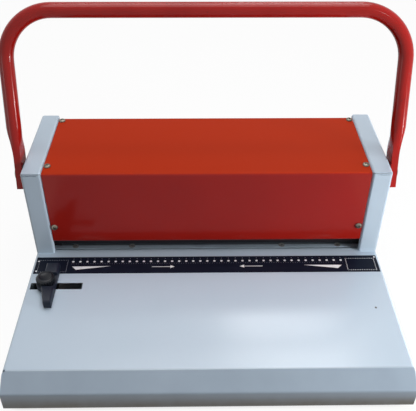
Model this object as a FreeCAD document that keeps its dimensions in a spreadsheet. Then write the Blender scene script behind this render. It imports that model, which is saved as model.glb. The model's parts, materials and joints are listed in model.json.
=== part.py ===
import FreeCAD, Part
import math
import os
import re
from types import SimpleNamespace

import Sketcher
from FreeCAD import Placement, Rotation, Vector

# A desktop hole punch for coil binding. A folded steel table carries a punch housing. A tube lever
# turns a shaft whose two cams push a bar of punches down through the paper. X runs across, +Y points
# to the back and +Z up. The origin is on the floor, under the middle of the machine.

doc = FreeCAD.newDocument("CoilPunch")

# Driving sizes, in millimetres unless a note gives degrees or a count.
SIZES = {
    # Folded sheet base
    "body_width": 350.0,
    "sheet": 1.2,
    "bend_radius": 2.5,
    "table_depth": 147.0,
    "bevel_run": 17.0,
    "bevel_drop": 10.6,
    "lip_height": 18.2,
    "return_flange": 22.0,
    "foot_height": 6.0,
    "foot_radius": 9.0,
    "foot_inset": 12.0,
    "foot_taper": 0.9,
    "relief_notch": 2.0,
    # Scale strip on the table
    "strip_depth": 23.5,
    "strip_setback": 6.8,
    "strip_margin": 2.5,
    "strip_thickness": 0.4,
    # Housing: end caps, cover and rear panel
    "housing_height": 99.0,
    "housing_depth": 109.0,
    "cap_width": 19.0,
    "cap_lip": 13.0,
    "cap_hole_gap": 1.0,
    "corner_seam": 0.5,
    "cover_inset": 1.0,
    "cover_gap": 0.5,
    "cover_mouth": 14.8,
    "cover_hem": 6.0,
    "rear_inset": 3.5,
    "rear_flange": 18.0,
    # Housing screws
    "screw_head_radius": 3.3,
    "screw_head_height": 2.2,
    "screw_radius": 1.75,
    "screw_length": 5.0,
    "screw_inset": 4.2,
    "cover_screw_front": 14.0,
    "cover_screw_back": 10.0,
    "front_screw_height": 34.0,
    "rear_screw_height": 20.0,
    "cap_screw_height": 16.0,
    "cap_screw_front": 60.0,
    "cap_screw_back": 14.0,
    "hole_clearance": 0.2,
    # Side frames
    "frame_thickness": 8.0,
    "frame_gap": 0.5,
    "frame_chamfer": 32.0,
    "frame_screw_gap": 4.0,
    "tie_setback": 84.0,
    "tie_height": 40.0,
    "tie_size": 14.0,
    "tenon_depth": 3.0,
    # Shaft, cams and lever
    "shaft_radius": 8.0,
    "square_size": 11.0,
    "running_fit": 0.05,
    "end_play": 0.3,
    "bush_wall": 2.0,
    "cam_base": 14.0,
    "cam_rise": 4.5,
    "hub_relief": 1.5,
    "hub_room": 0.8,
    "cam_width": 12.0,
    "cam_spacing": 190.0,
    "cam_gap": 0.3,
    "cam_room": 1.2,
    "cam_run_in": 12.0,
    "cam_run_out": 4.0,
    "key_size": 4.0,
    "lever_swing": 90.0,
    "lever_lean": 16.9,
    "lever_gap": 2.8,
    "lever_reach": 152.2,
    "tube_gap": 1.5,
    "tube_radius": 7.0,
    "tube_bend": 44.5,
    "flat_width": 19.0,
    "flat_thickness": 6.5,
    "flat_length": 18.0,
    "flat_tail": 13.5,
    "taper_length": 27.0,
    "spacer_radius": 10.0,
    "lever_screw_head": 7.0,
    "lever_screw_height": 2.2,
    "lever_screw_radius": 3.0,
    "lever_screw_length": 14.0,
    # Punch and die set
    "punch_count": 41,
    "row_margin": 31.0,
    "punch_radius": 2.0,
    "punch_clearance": 0.2,
    "tip_retreat": 1.0,
    "throat": 2.6,
    "die_thickness": 10.0,
    "die_front": 7.5,
    "die_overlap": 24.0,
    "die_gap": 2.5,
    "die_end_margin": 5.0,
    "die_screw_inner": 78.0,
    "die_screw_inset": 7.5,
    "die_screw_setback": 3.2,
    "die_screw_head": 3.0,
    "rail_drop": 5.0,
    "guide_thickness": 12.0,
    "guide_front": 12.0,
    "guide_overlap": 36.0,
    "spacer_width": 8.0,
    "plate_bolt_radius": 2.5,
    "plate_bolt_head": 4.5,
    "plate_bolt_head_height": 4.0,
    "stop_depth": 4.5,
    # Punch bar and its return springs
    "bar_depth": 20.0,
    "bar_end_margin": 3.5,
    "bar_lift": 12.0,
    "punch_seat": 6.0,
    "pad_height": 8.0,
    "pad_recess": 2.0,
    "pad_length": 20.0,
    "post_radius": 4.0,
    "post_setback": 26.0,
    "post_inset": 24.0,
    "post_seat": 9.0,
    "post_clearance": 0.1,
    "ear_width": 24.0,
    "ear_thickness": 12.0,
    "ear_margin": 9.0,
    "spring_length": 31.0,
    "spring_radius": 6.6,
    "spring_wire": 1.8,
    "spring_turns": 5,
    "spring_clearance": 0.1,
    # Edge guide
    "slot_length": 50.0,
    "slot_width": 8.5,
    "slot_margin": 3.5,
    "slot_setback": 47.5,
    "guide_rest": 19.5,
    "fence_offset": 9.5,
    "fence_width": 12.5,
    "fence_height": 9.0,
    "fence_back": 24.0,
    "fence_length": 52.5,
    "nose_width": 7.0,
    "nose_length": 20.0,
    "fence_chamfer": 1.2,
    "guide_ear_radius": 9.4,
    "guide_ear_height": 4.8,
    "guide_clearance": 0.3,
    "tongue_length": 12.0,
    "stud_radius": 2.5,
    "stud_head_radius": 4.5,
    "stud_head_height": 3.0,
    "stud_grip": 5.5,
    "clamp_length": 13.0,
    "clamp_width": 16.0,
    "clamp_thickness": 2.0,
    "knob_radius": 9.0,
    "knob_height": 8.0,
    "knob_lobes": 10,
    "knob_hollow": 0.8,
    "knob_cap": 2.0,
    # Chip tray
    "tray_margin": 3.0,
    "tray_height": 12.0,
    "tray_front": 15.5,
    "tray_wall": 1.0,
    "tray_clearance": 0.3,
    "tray_notch_radius": 9.0,
    "runner_leg": 8.0,
    "runner_gap": 7.0,
}

sheet = doc.addObject("Spreadsheet::Sheet", "Sizes")
for row, (alias, size) in enumerate(SIZES.items(), start=1):
    sheet.set(f"A{row}", alias.replace("_", " "))
    sheet.set(f"B{row}", str(size))
    sheet.setAlias(f"B{row}", alias)

# Levels and places that follow from the sizes: Y and Z planes of the machine, and X half widths.
PLACES = {
    "table_top": "foot_height + lip_height + bevel_drop",
    "back": "(bevel_run + table_depth + housing_depth) / 2",
    "front": "-back",
    "face": "back - housing_depth",
    "side": "body_width / 2",
    "top": "table_top + housing_height",
    "cap_inner": "side - cap_width",
    "cover_face": "face + cover_inset",
    "cover_top": "top - cover_inset",
    "cover_back": "back - rear_inset",
    "cover_half": "cap_inner - cover_gap",
    "cover_under": "table_top + cover_mouth",
    "lip_front": "cover_face + sheet",
    "lip_top": "cover_top - sheet",
    "panel_face": "cover_back - sheet",
    "lip_back": "panel_face - sheet",
    "screw_x": "cap_inner - screw_inset",
    "frame_outer": "side - sheet",
    "frame_inner": "frame_outer - frame_thickness",
    "frame_front": "face + bend_radius + frame_gap",
    "frame_back": "back - bend_radius - frame_gap",
    "frame_top": "top - bend_radius - frame_gap",
    "shaft_y": "lip_front + cam_base + cam_rise * pi / 2 + cam_room",
    "shaft_z": "lip_top - cam_hub_radius - hub_room",
    "cam_hub_radius": "cam_base - hub_relief",
    "bush_radius": "shaft_radius + running_fit + bush_wall",
    "flat_inner": "side + lever_gap",
    "flat_middle": "flat_inner + flat_thickness / 2",
    "lever_middle": "side + tube_gap + tube_radius",
    "punch_y": "shaft_y - cam_rise",
    "row_half": "side - row_margin",
    "punch_pitch": "2 * row_half / (punch_count - 1)",
    "spacer_x": "row_half + punch_radius + die_end_margin",
    "die_half": "spacer_x + spacer_width",
    "die_under": "table_top - die_thickness",
    "die_back": "punch_y + die_overlap",
    "die_screw_outer": "row_half - die_screw_inset",
    "guide_under": "table_top + throat",
    "guide_top": "guide_under + guide_thickness",
    "guide_back": "punch_y + guide_overlap",
    "groove_half": "punch_radius + running_fit",
    "bar_half": "row_half + punch_radius + bar_end_margin",
    "bar_under": "guide_top + bar_lift",
    "follower": "shaft_z - cam_base - cam_gap",
    "bar_top": "follower - pad_height + pad_recess",
    "post_x": "row_half - post_inset",
    "post_y": "punch_y + post_setback",
    "ear_under": "guide_top + spring_length",
    "stud_x": "guide_rest - side",
    "stud_y": "face - slot_setback",
    "guide_seat": "table_top + strip_thickness + guide_clearance",
    "ear_seat": "guide_seat + guide_ear_height",
    "table_under": "table_top - sheet",
    "tray_floor": "foot_height + sheet + tray_clearance",
    "tray_rim": "tray_floor + tray_height",
    "tray_face": "face + tray_front",
    "tray_half": "side - return_flange - tray_margin",
    "rail_inner": "tray_half + 2 * tray_clearance",
}

places = doc.addObject("App::VarSet", "Places")
WORD = re.compile(r"[a-z]\w*")


def bound(text):
    """The expression with each size or place written after the object that holds it."""

    def with_owner(match):
        word = match.group()
        if word in SIZES:
            return "Sizes." + word
        return "Places." + word if word in PLACES else word

    return WORD.sub(with_owner, text)


for name, rule in PLACES.items():
    places.addProperty("App::PropertyFloat", name)
for name, rule in PLACES.items():
    places.setExpression(name, bound(rule))
doc.recompute()

# The same sizes and places as numbers, for shapes that no single feature makes.
mm = SimpleNamespace(**{name: float(sheet.get(name)) for name in SIZES})
for name in PLACES:
    setattr(mm, name, getattr(places, name))

X, Y, Z = Vector(1, 0, 0), Vector(0, 1, 0), Vector(0, 0, 1)
AXES = {"x": X, "y": Y, "z": Z}
SIDES = (-1, 1)
HIDDEN_SIDES = 6  # punches, shanks and their holes are six sided, which keeps the model light
HEAD_SIDES = 10  # small screw heads and feet
OVERSHOOT = mm.sheet  # how far a cutting tool runs past the face that it cuts
sub_parts = []


def sub_part(piece, label):
    """Count a document object as one piece of the machine, under its own name."""
    piece.Label = label
    sub_parts.append(piece)
    return piece


def seat(solid, corner):
    for axis, text in zip("xyz", corner):
        solid.setExpression(f"Placement.Base.{axis}", bound(text))


def box(name, low, spans):
    """A block from its lowest corner and its three lengths."""
    solid = doc.addObject("Part::Box", name)
    for side_name, text in zip(("Length", "Width", "Height"), spans):
        solid.setExpression(side_name, bound(text))
    seat(solid, low)
    return solid


def span_box(name, low, high):
    """A block between two opposite corners."""
    return box(name, low, [f"({b}) - ({a})" for a, b in zip(low, high)])


def rod(name, axis, start, radius, length):
    solid = doc.addObject("Part::Cylinder", name)
    solid.Placement = Placement(Vector(), Rotation(Z, AXES[axis]))
    solid.setExpression("Radius", bound(radius))
    solid.setExpression("Height", bound(length))
    seat(solid, start)
    return solid


def cut(name, base, tools):
    group = doc.addObject("Part::Compound", name + "_tools")
    group.Links = tools
    result = doc.addObject("Part::Cut", name)
    result.Base = base
    result.Tool = group
    return result


def fuse(name, pieces):
    result = doc.addObject("Part::MultiFuse", name)
    result.Shapes = pieces
    return result


def group(name, pieces):
    result = doc.addObject("Part::Compound", name)
    result.Links = pieces
    return result


def mirrored(name, source):
    """The same piece on the other side of the machine."""
    twin = doc.addObject("Part::Mirroring", name)
    twin.Source = source
    twin.Normal = X
    return twin


def shaped(name, shape, placement=None):
    """A piece whose shape comes straight from geometry."""
    feature = doc.addObject("Part::Feature", name)
    feature.Shape = shape
    if placement is not None:
        feature.Placement = placement
    return feature


def new_body(name):
    return doc.addObject("PartDesign::Body", name)


def new_sketch(body, name, role, offset="0"):
    sketch = body.newObject("Sketcher::SketchObject", name)
    plane = next(item for item in body.Origin.OriginFeatures if item.Role == role)
    sketch.AttachmentSupport = (plane, [""])
    sketch.MapMode = "FlatFace"
    sketch.setExpression("AttachmentOffset.Base.z", bound(offset))
    return sketch


def outline(sketch, corners):
    """A closed run of straight lines whose corners are tied to the sizes."""
    first = sketch.GeometryCount
    points = [Vector(*(sketch.evalExpression(bound(text)) for text in pair), 0) for pair in corners]
    count = len(points)
    for i in range(count):
        sketch.addGeometry(Part.LineSegment(points[i], points[(i + 1) % count]), False)
    for i in range(count):
        sketch.addConstraint(Sketcher.Constraint("Coincident", first + i, 2, first + (i + 1) % count, 1))
        for kind, text, value in zip(("DistanceX", "DistanceY"), corners[i], points[i]):
            index = sketch.addConstraint(Sketcher.Constraint(kind, first + i, 1, value))
            sketch.setExpression(f"Constraints[{index}]", bound(text))


def rectangle(sketch, low, high):
    (x0, y0), (x1, y1) = low, high
    outline(sketch, [(x0, y0), (x1, y0), (x1, y1), (x0, y1)])


def pad(body, name, sketch, length, both_ways=False):
    feature = body.newObject("PartDesign::Pad", name)
    feature.Profile = sketch
    feature.setExpression("Length", bound(length))
    feature.Midplane = both_ways
    return feature


def rounded(body, name, base, radius, chosen):
    """Fillet the edges of a feature that pass a test."""
    doc.recompute()
    fillet = body.newObject("PartDesign::Fillet", name)
    names = [f"Edge{i}" for i, edge in enumerate(base.Shape.Edges, 1) if chosen(edge)]
    fillet.Base = (base, names)
    fillet.setExpression("Radius", bound(radius))
    return fillet


def near(value, target):
    return abs(value - target) < 0.01


def folded(body, name, block, floor, bent):
    """Turn a block into folded sheet, open below, with bend radii at the edges that pass a test."""
    doc.recompute()
    walls = body.newObject("PartDesign::Thickness", name + "_walls")
    faces = enumerate(block.Shape.Faces, 1)
    walls.Base = (block, [f"Face{i}" for i, face in faces if near(face.BoundBox.ZMax, floor)])
    walls.Reversed = True
    walls.setExpression("Value", bound("sheet"))
    middles = [edge.CenterOfMass for edge in block.Shape.Edges]

    def bend(edge, outside):
        of_block = any(edge.CenterOfMass.distanceToPoint(middle) < 0.01 for middle in middles)
        return edge.BoundBox.ZMax > floor + 0.01 and of_block == outside and bent(edge)

    inner = rounded(body, name + "_inner", walls, "bend_radius - sheet", lambda edge: bend(edge, False))
    return rounded(body, name + "_outer", inner, "bend_radius", lambda edge: bend(edge, True))


def runs_along(edge, axis):
    """Whether an edge is straight along one axis."""
    spans = dict(zip("xyz", (edge.BoundBox.XLength, edge.BoundBox.YLength, edge.BoundBox.ZLength)))
    return all(near(span, 0) for other, span in spans.items() if other != axis)


def ring(radius, level, sides):
    """A regular polygon round the Z axis, with its corners on the radius."""
    turns = [2 * math.pi * (i + 0.5) / sides for i in range(sides)]
    corners = [Vector(radius * math.cos(turn), radius * math.sin(turn), level) for turn in turns]
    return Part.makePolygon(corners + corners[:1])


def prism(radius, length, sides=HIDDEN_SIDES):
    """A regular prism up from the origin."""
    return Part.Face(ring(radius, 0, sides)).extrude(Z * length)


def turned(steps, sides=HEAD_SIDES):
    """A many-sided stand-in for a small turned piece, through steps of radius and height."""
    return Part.makeLoft([ring(radius, level, sides) for radius, level in steps], True, True)


def bore(radius, length):
    """The tool for a hole that clears a prism or rod of that radius."""
    return prism((radius + mm.hole_clearance) / math.cos(math.pi / HIDDEN_SIDES), length)


def pan_screw(head_radius, head_height, radius, length):
    """A screw with its head above Z = 0 and its shank below."""
    rim = head_height / 2
    head = turned([(head_radius, 0), (head_radius, rim), (head_radius - rim, head_height)])
    return head.fuse(prism(radius, length).translated(Z * -length))


def flat_screw(head_radius, radius, length):
    """A countersunk screw, flush with Z = 0."""
    depth = head_radius - radius
    head = turned([(radius, -depth), (head_radius, 0)], HIDDEN_SIDES)
    return head.fuse(prism(radius, length).translated(Z * -length))


def placed(shape, point, direction):
    copy = shape.copy()
    copy.Placement = Placement(Vector(*point), Rotation(Z, direction)) * shape.Placement
    return copy


def copies(shape, spots):
    """Copies of a shape, each at a point and turned from +Z to a direction."""
    return Part.makeCompound([placed(shape, point, direction) for point, direction in spots])


# Base table: one folded sheet, with a bevel and lip in front and flanges turned in underneath
base_body = new_body("base_body")
base_side_view = new_sketch(base_body, "base_side_view", "YZ_Plane")
outline(
    base_side_view,
    [
        ("front", "foot_height"),
        ("front", "foot_height + lip_height"),
        ("front + bevel_run", "table_top"),
        ("back", "table_top"),
        ("back", "foot_height"),
    ],
)
base_block = pad(base_body, "base_block", base_side_view, "body_width", both_ways=True)
folded(
    base_body,
    "base",
    base_block,
    mm.foot_height,
    lambda edge: runs_along(edge, "x") or runs_along(edge, "y"),
)
flange_plan = new_sketch(base_body, "flange_plan", "XY_Plane", "foot_height")
rectangle(
    flange_plan,
    ("-side + sheet / 2", "front + sheet / 2"),
    ("side - sheet / 2", "back - sheet / 2"),
)
rectangle(
    flange_plan,
    ("-side + return_flange", "front + return_flange"),
    ("side - return_flange", "back - return_flange"),
)
pad(base_body, "base_flanges", flange_plan, "sheet")

feet_spots = [
    ((across * (mm.side - mm.foot_inset), along, 0), Z)
    for across in SIDES
    for along in (mm.front + mm.foot_inset, mm.back - mm.foot_inset)
]
frame_screw_spots = [
    (across * (mm.frame_inner + mm.screw_head_radius), along, mm.table_under)
    for across in SIDES
    for along in (mm.guide_back + mm.frame_screw_gap, mm.back - mm.cap_screw_back)
]
base_holes = shaped(
    "base_holes",
    copies(
        bore(mm.screw_radius, mm.sheet + 2 * OVERSHOOT),
        [((x, y, z - OVERSHOOT), Z) for x, y, z in frame_screw_spots],
    ),
)
die_window = span_box(
    "die_window",
    ("-die_half - die_gap", "face + die_front - die_gap", "table_under - sheet"),
    ("die_half + die_gap", "die_back + die_gap", "table_top + sheet"),
)
guide_slot = box(
    "guide_slot",
    ("slot_margin - side", "stud_y - slot_width / 2", "table_under - sheet"),
    ("slot_length", "slot_width", "3 * sheet"),
)
tray_window = span_box(
    "tray_window",
    ("-tray_half - tray_clearance", "back - 2 * sheet", "foot_height + sheet"),
    ("tray_half + tray_clearance", "back + sheet", "tray_rim + tray_clearance"),
)
# At the left end of the bevel bend the sheet is nicked, so that it folds without tearing
relief_nick = span_box(
    "relief_nick",
    ("-side - sheet", "front + bevel_run - relief_notch / 2", "table_top - bend_radius - relief_notch"),
    ("-side + bend_radius", "front + bevel_run + relief_notch / 2", "table_top + sheet"),
)
base_cut = cut("base_cut", base_body, [base_holes, die_window, guide_slot, tray_window, relief_nick])
sub_part(base_cut, "base_table")

# Rubber feet, stuck on under the flange
foot = turned([(mm.foot_radius - mm.foot_taper, 0), (mm.foot_radius, mm.foot_height)])
sub_part(shaped("foot_set", copies(foot, feet_spots)), "rubber_feet")

# Scale strip, a thin plate that lies on the table
strip = box(
    "strip",
    ("strip_margin - side", "face - strip_setback - strip_depth", "table_top"),
    ("body_width - 2 * strip_margin", "strip_depth", "strip_thickness"),
)
sub_part(strip, "scale_strip")

# End caps: a folded box, open below, whose inner wall turns in to lips under the cover
cap_body = new_body("cap_body")
cap_side_view = new_sketch(cap_body, "cap_side_view", "YZ_Plane", "cap_inner")
rectangle(cap_side_view, ("face", "table_top"), ("back", "top"))
cap_block = pad(cap_body, "cap_block", cap_side_view, "cap_width")
folded(
    cap_body,
    "cap",
    cap_block,
    mm.table_top,
    lambda edge: runs_along(edge, "y") or runs_along(edge, "z"),
)
cap_opening = span_box(
    "cap_opening",
    ("cap_inner - sheet", "lip_front + sheet", "table_top - sheet"),
    ("cap_inner + sheet + sheet", "lip_back - sheet", "lip_top - sheet"),
)
lip_block = span_box(
    "lip_block",
    ("cap_inner - cap_lip", "lip_front", "table_top + sheet"),
    ("cap_inner + sheet", "lip_back", "lip_top"),
)
lip_core = span_box(
    "lip_core",
    ("cap_inner - cap_lip - sheet", "lip_front + sheet", "table_top"),
    ("cap_inner + sheet + sheet", "lip_back - sheet", "lip_top - sheet"),
)
lip_mouth = span_box(
    "lip_mouth",
    ("cap_inner - cap_lip - sheet", "lip_front - sheet", "table_top"),
    ("cap_inner", "lip_front + 2 * sheet", "cover_under + bend_radius + cover_gap"),
)
lip_corners = [
    span_box(
        f"lip_corner_{name}",
        ("cap_inner - cap_lip - sheet", low, "cover_top - bend_radius - cover_gap"),
        ("cap_inner", high, "top"),
    )
    for name, low, high in (
        ("front", "face", "cover_face + bend_radius + cover_gap"),
        ("back", "cover_back - bend_radius - cover_gap", "back"),
    )
]
lips = cut("lips", lip_block, [lip_core, lip_mouth, *lip_corners])
cap_frame = fuse("cap_frame", [cut("cap_shell", cap_body, [cap_opening]), lips])

top_screw_spots = [
    (mm.screw_x, along, mm.cover_top)
    for along in (mm.face + mm.cover_screw_front, mm.back - mm.cover_screw_back)
]
front_screw_spots = [(mm.screw_x, mm.cover_face, mm.table_top + mm.front_screw_height)]
rear_screw_spots = [
    (mm.screw_x, mm.cover_back, mm.cover_top - mm.rear_flange / 2),
    (mm.screw_x, mm.panel_face, mm.table_top + mm.rear_screw_height),
]
cap_screw_spots = [
    (mm.side, along, mm.table_top + mm.cap_screw_height)
    for along in (mm.face + mm.cap_screw_front, mm.back - mm.cap_screw_back)
]


def both_sides(spots, direction):
    """Spots on the right and their twins on the left, with the way that each head faces."""
    twin = Vector(-direction.x, direction.y, direction.z)
    return [((x, y, z), direction) for x, y, z in spots] + [((-x, y, z), twin) for x, y, z in spots]


# A long tool for each housing screw clears the cover, the panel and the lip below it
screw_reach = bore(mm.screw_radius, 2 * mm.screw_length).translated(Z * -3 / 2 * mm.screw_length)
housing_screw_ways = (
    both_sides(top_screw_spots, Z) + both_sides(front_screw_spots, -Y) + both_sides(rear_screw_spots, Y)
)
housing_holes = shaped("housing_holes", copies(screw_reach, housing_screw_ways))
cap_holes = shaped("cap_holes", copies(screw_reach, both_sides(cap_screw_spots, X)))
shaft_hole = rod(
    "shaft_hole",
    "x",
    ("frame_outer - sheet", "shaft_y", "shaft_z"),
    "shaft_radius + cap_hole_gap",
    "3 * sheet",
)
seam_slit = span_box(
    "seam_slit",
    ("cap_inner + bend_radius + sheet", "face - sheet", "top - bend_radius - corner_seam"),
    ("side + sheet", "face + sheet + sheet", "top - bend_radius"),
)
right_cap = cut("right_cap", cap_frame, [housing_holes, cap_holes, shaft_hole, seam_slit])
sub_part(right_cap, "end_cap_right")
sub_part(mirrored("left_cap", right_cap), "end_cap_left")

# Cover: one bent sheet for the front, the top and a short flange at the back
cover_body = new_body("cover_body")
cover_side_view = new_sketch(cover_body, "cover_side_view", "YZ_Plane")
outline(
    cover_side_view,
    [
        ("cover_face + cover_hem", "cover_under"),
        ("cover_face", "cover_under"),
        ("cover_face", "cover_top"),
        ("cover_back", "cover_top"),
        ("cover_back", "cover_top - rear_flange"),
        ("cover_back - sheet", "cover_top - rear_flange"),
        ("cover_back - sheet", "cover_top - sheet"),
        ("cover_face + sheet", "cover_top - sheet"),
        ("cover_face + sheet", "cover_under + sheet"),
        ("cover_face + cover_hem", "cover_under + sheet"),
    ],
)
cover_sheet = pad(cover_body, "cover_sheet", cover_side_view, "2 * cover_half", both_ways=True)


def long_edges_at(spots):
    """A test for the edges that run across the machine through one of the Y and Z spots."""

    def chosen(edge):
        middle = edge.CenterOfMass
        return runs_along(edge, "x") and any(near(middle.y, y) and near(middle.z, z) for y, z in spots)

    return chosen


cover_corners = [
    (mm.cover_face, mm.cover_under, 1, 1),
    (mm.cover_face, mm.cover_top, 1, -1),
    (mm.cover_back, mm.cover_top, -1, -1),
]
inner_spots = [(y + dy * mm.sheet, z + dz * mm.sheet) for y, z, dy, dz in cover_corners]
outer_spots = [(y, z) for y, z, dy, dz in cover_corners]
cover_inner = rounded(
    cover_body, "cover_inner", cover_sheet, "bend_radius - sheet", long_edges_at(inner_spots)
)
rounded(cover_body, "cover_outer", cover_inner, "bend_radius", long_edges_at(outer_spots))
sub_part(cut("cover", cover_body, [housing_holes]), "top_cover")

# Rear panel, tucked under the back flange of the cover
panel_sheet = span_box(
    "panel_sheet",
    ("-cover_half", "lip_back", "table_top + cover_gap"),
    ("cover_half", "panel_face", "cover_top - bend_radius - cover_gap"),
)
sub_part(cut("panel", panel_sheet, [housing_holes]), "rear_panel")

housing_screw = pan_screw(mm.screw_head_radius, mm.screw_head_height, mm.screw_radius, mm.screw_length)
cover_screws = copies(housing_screw, both_sides(top_screw_spots, Z) + both_sides(front_screw_spots, -Y))
sub_part(shaped("cover_screw_set", cover_screws), "cover_screws")
sub_part(
    shaped("rear_screw_set", copies(housing_screw, both_sides(rear_screw_spots, Y))), "rear_panel_screws"
)
sub_part(shaped("cap_screw_set", copies(housing_screw, both_sides(cap_screw_spots, X))), "cap_screws")

# Side frames: thick plates that carry the shaft, the guide plate and the tie bar
frame_body = new_body("frame_body")
frame_side_view = new_sketch(frame_body, "frame_side_view", "YZ_Plane", "frame_inner")
outline(
    frame_side_view,
    [
        ("frame_front", "table_top"),
        ("frame_back", "table_top"),
        ("frame_back", "frame_top - frame_chamfer"),
        ("frame_back - frame_chamfer", "frame_top"),
        ("frame_front", "frame_top"),
    ],
)
pad(frame_body, "frame_plate", frame_side_view, "frame_thickness")
bush_bore = rod(
    "bush_bore",
    "x",
    ("frame_inner - sheet", "shaft_y", "shaft_z"),
    "bush_radius + running_fit",
    "frame_thickness + 2 * sheet",
)
guide_mortise = span_box(
    "guide_mortise",
    ("frame_inner - sheet", "face + guide_front", "guide_under"),
    ("frame_inner + tenon_depth", "guide_back", "guide_top"),
)
tie_mortise = box(
    "tie_mortise",
    ("frame_inner - sheet", "face + tie_setback - tie_size / 2", "table_top + tie_height - tie_size / 2"),
    ("tenon_depth + sheet", "tie_size", "tie_size"),
)
frame_screw_holes = shaped(
    "frame_screw_holes",
    copies(
        bore(mm.screw_radius, 3 * mm.screw_length),
        [((x, y, z - OVERSHOOT), Z) for x, y, z in frame_screw_spots],
    ),
)
right_frame = cut(
    "right_frame", frame_body, [bush_bore, guide_mortise, tie_mortise, cap_holes, frame_screw_holes]
)
sub_part(right_frame, "side_frame_right")
sub_part(mirrored("left_frame", right_frame), "side_frame_left")
frame_screw = prism(mm.screw_head_radius, mm.screw_head_height, 6).fuse(
    prism(mm.screw_radius, 2 * mm.screw_length).translated(Z * -2 * mm.screw_length)
)
sub_part(
    shaped("frame_screw_set", copies(frame_screw, [(spot, -Z) for spot in frame_screw_spots])),
    "frame_screws",
)
tie_bar = span_box(
    "tie_bar_block",
    (
        "-frame_inner - tenon_depth",
        "face + tie_setback - tie_size / 2",
        "table_top + tie_height - tie_size / 2",
    ),
    (
        "frame_inner + tenon_depth",
        "face + tie_setback + tie_size / 2",
        "table_top + tie_height + tie_size / 2",
    ),
)
sub_part(tie_bar, "tie_bar")

# Plain bushes for the shaft
bush_sleeve = rod(
    "bush_sleeve", "x", ("frame_inner", "shaft_y", "shaft_z"), "bush_radius", "frame_thickness"
)
bush_hole = rod(
    "bush_hole",
    "x",
    ("frame_inner - sheet", "shaft_y", "shaft_z"),
    "shaft_radius + running_fit",
    "frame_thickness + 2 * sheet",
)
right_bush = cut("right_bush", bush_sleeve, [bush_hole])
sub_part(group("bush_pair", [right_bush, mirrored("left_bush", right_bush)]), "shaft_bushes")

# Die set: die plate flush with the table, and above the paper throat a plate that guides the punches
punch_spots = [mm.punch_pitch * i - mm.row_half for i in range(int(mm.punch_count))]


def punch_holes(name, low, high):
    """A row of tools for holes that clear the punches."""
    clear_radius = (mm.punch_radius + mm.punch_clearance) / math.cos(math.pi / HIDDEN_SIDES)
    tool = prism(clear_radius, high - low + 2 * OVERSHOOT)
    return shaped(name, copies(tool, [((x, mm.punch_y, low - OVERSHOOT), Z) for x in punch_spots]))


die_screw_spots = [
    (across * out, mm.face + mm.die_front + mm.die_screw_setback, mm.table_top)
    for across in SIDES
    for out in (mm.die_screw_inner, mm.die_screw_outer)
]
plate_bolt_spots = [
    (across * (mm.die_half - mm.spacer_width / 2), along, mm.guide_top)
    for across in SIDES
    for along in (mm.punch_y, mm.die_back - mm.spacer_width / 2)
]
plate_bolt_length = mm.guide_top - mm.die_under + mm.rail_drop / 2
plate_bolt_holes = shaped(
    "plate_bolt_holes",
    copies(
        bore(mm.plate_bolt_radius, plate_bolt_length + OVERSHOOT),
        [((x, y, z + OVERSHOOT), -Z) for x, y, z in plate_bolt_spots],
    ),
)
die_screw = flat_screw(mm.die_screw_head, mm.screw_radius, mm.die_thickness + mm.rail_drop / 2)
die_screw_sink = flat_screw(
    mm.die_screw_head + mm.hole_clearance,
    mm.screw_radius + mm.hole_clearance,
    mm.die_thickness + mm.rail_drop / 2 + mm.hole_clearance,
)
die_screw_holes = shaped(
    "die_screw_holes", copies(die_screw_sink, [(spot, Z) for spot in die_screw_spots])
)
die_block = span_box(
    "die_block",
    ("-die_half", "face + die_front", "die_under"),
    ("die_half", "die_back", "table_top"),
)
die_plate = cut(
    "die",
    die_block,
    [punch_holes("die_holes", mm.die_under, mm.table_top), plate_bolt_holes, die_screw_holes],
)
sub_part(die_plate, "die_plate")
sub_part(
    shaped("die_screw_set", copies(die_screw, [(spot, Z) for spot in die_screw_spots])), "die_screws"
)

# Under the die, a bar along its front edge and a rail at each end carry it from the table
front_rail = span_box(
    "front_rail",
    ("-rail_inner", "face + die_front", "die_under - rail_drop"),
    ("rail_inner", "tray_face - tray_clearance", "die_under"),
)
sub_part(cut("die_bar", front_rail, [die_screw_holes]), "die_support_bar")
end_rail = span_box(
    "end_rail",
    ("rail_inner", "face + die_front", "die_under - rail_drop"),
    ("frame_inner", "die_back", "die_under"),
)
end_rail_wall = span_box(
    "end_rail_wall",
    ("die_half + die_gap", "face + die_front", "die_under - rail_drop"),
    ("frame_inner", "die_back", "table_under"),
)
right_rail = cut("right_rail", fuse("rail_blank", [end_rail, end_rail_wall]), [plate_bolt_holes])
sub_part(right_rail, "die_rail_right")
sub_part(mirrored("left_rail", right_rail), "die_rail_left")

guide_block = span_box(
    "guide_block",
    ("-frame_inner - tenon_depth", "face + guide_front", "guide_under"),
    ("frame_inner + tenon_depth", "guide_back", "guide_top"),
)
post_seats = [
    rod(
        f"post_seat_{name}",
        "z",
        (f"{sign} * post_x", "post_y", "guide_top - post_seat"),
        "post_radius + running_fit",
        "post_seat + sheet",
    )
    for name, sign in (("left", -1), ("right", 1))
]
guide_plate = cut(
    "guide",
    guide_block,
    [punch_holes("guide_holes", mm.guide_under, mm.guide_top), plate_bolt_holes, *post_seats],
)
sub_part(guide_plate, "guide_plate")
throat_spacers = [
    span_box(
        f"throat_spacer_{name}",
        (low, "face + guide_front", "table_top"),
        (high, "die_back", "guide_under"),
    )
    for name, low, high in (
        ("left", "-die_half", "-spacer_x"),
        ("right", "spacer_x", "die_half"),
    )
]
spacer_pair = cut("spacer_pair", group("spacer_blanks", throat_spacers), [plate_bolt_holes])
sub_part(spacer_pair, "throat_spacers")
stop_strip = span_box(
    "stop_strip",
    ("-spacer_x", "punch_y + stop_depth", "table_top"),
    ("spacer_x", "guide_back", "guide_under"),
)
sub_part(stop_strip, "paper_stop")
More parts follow.
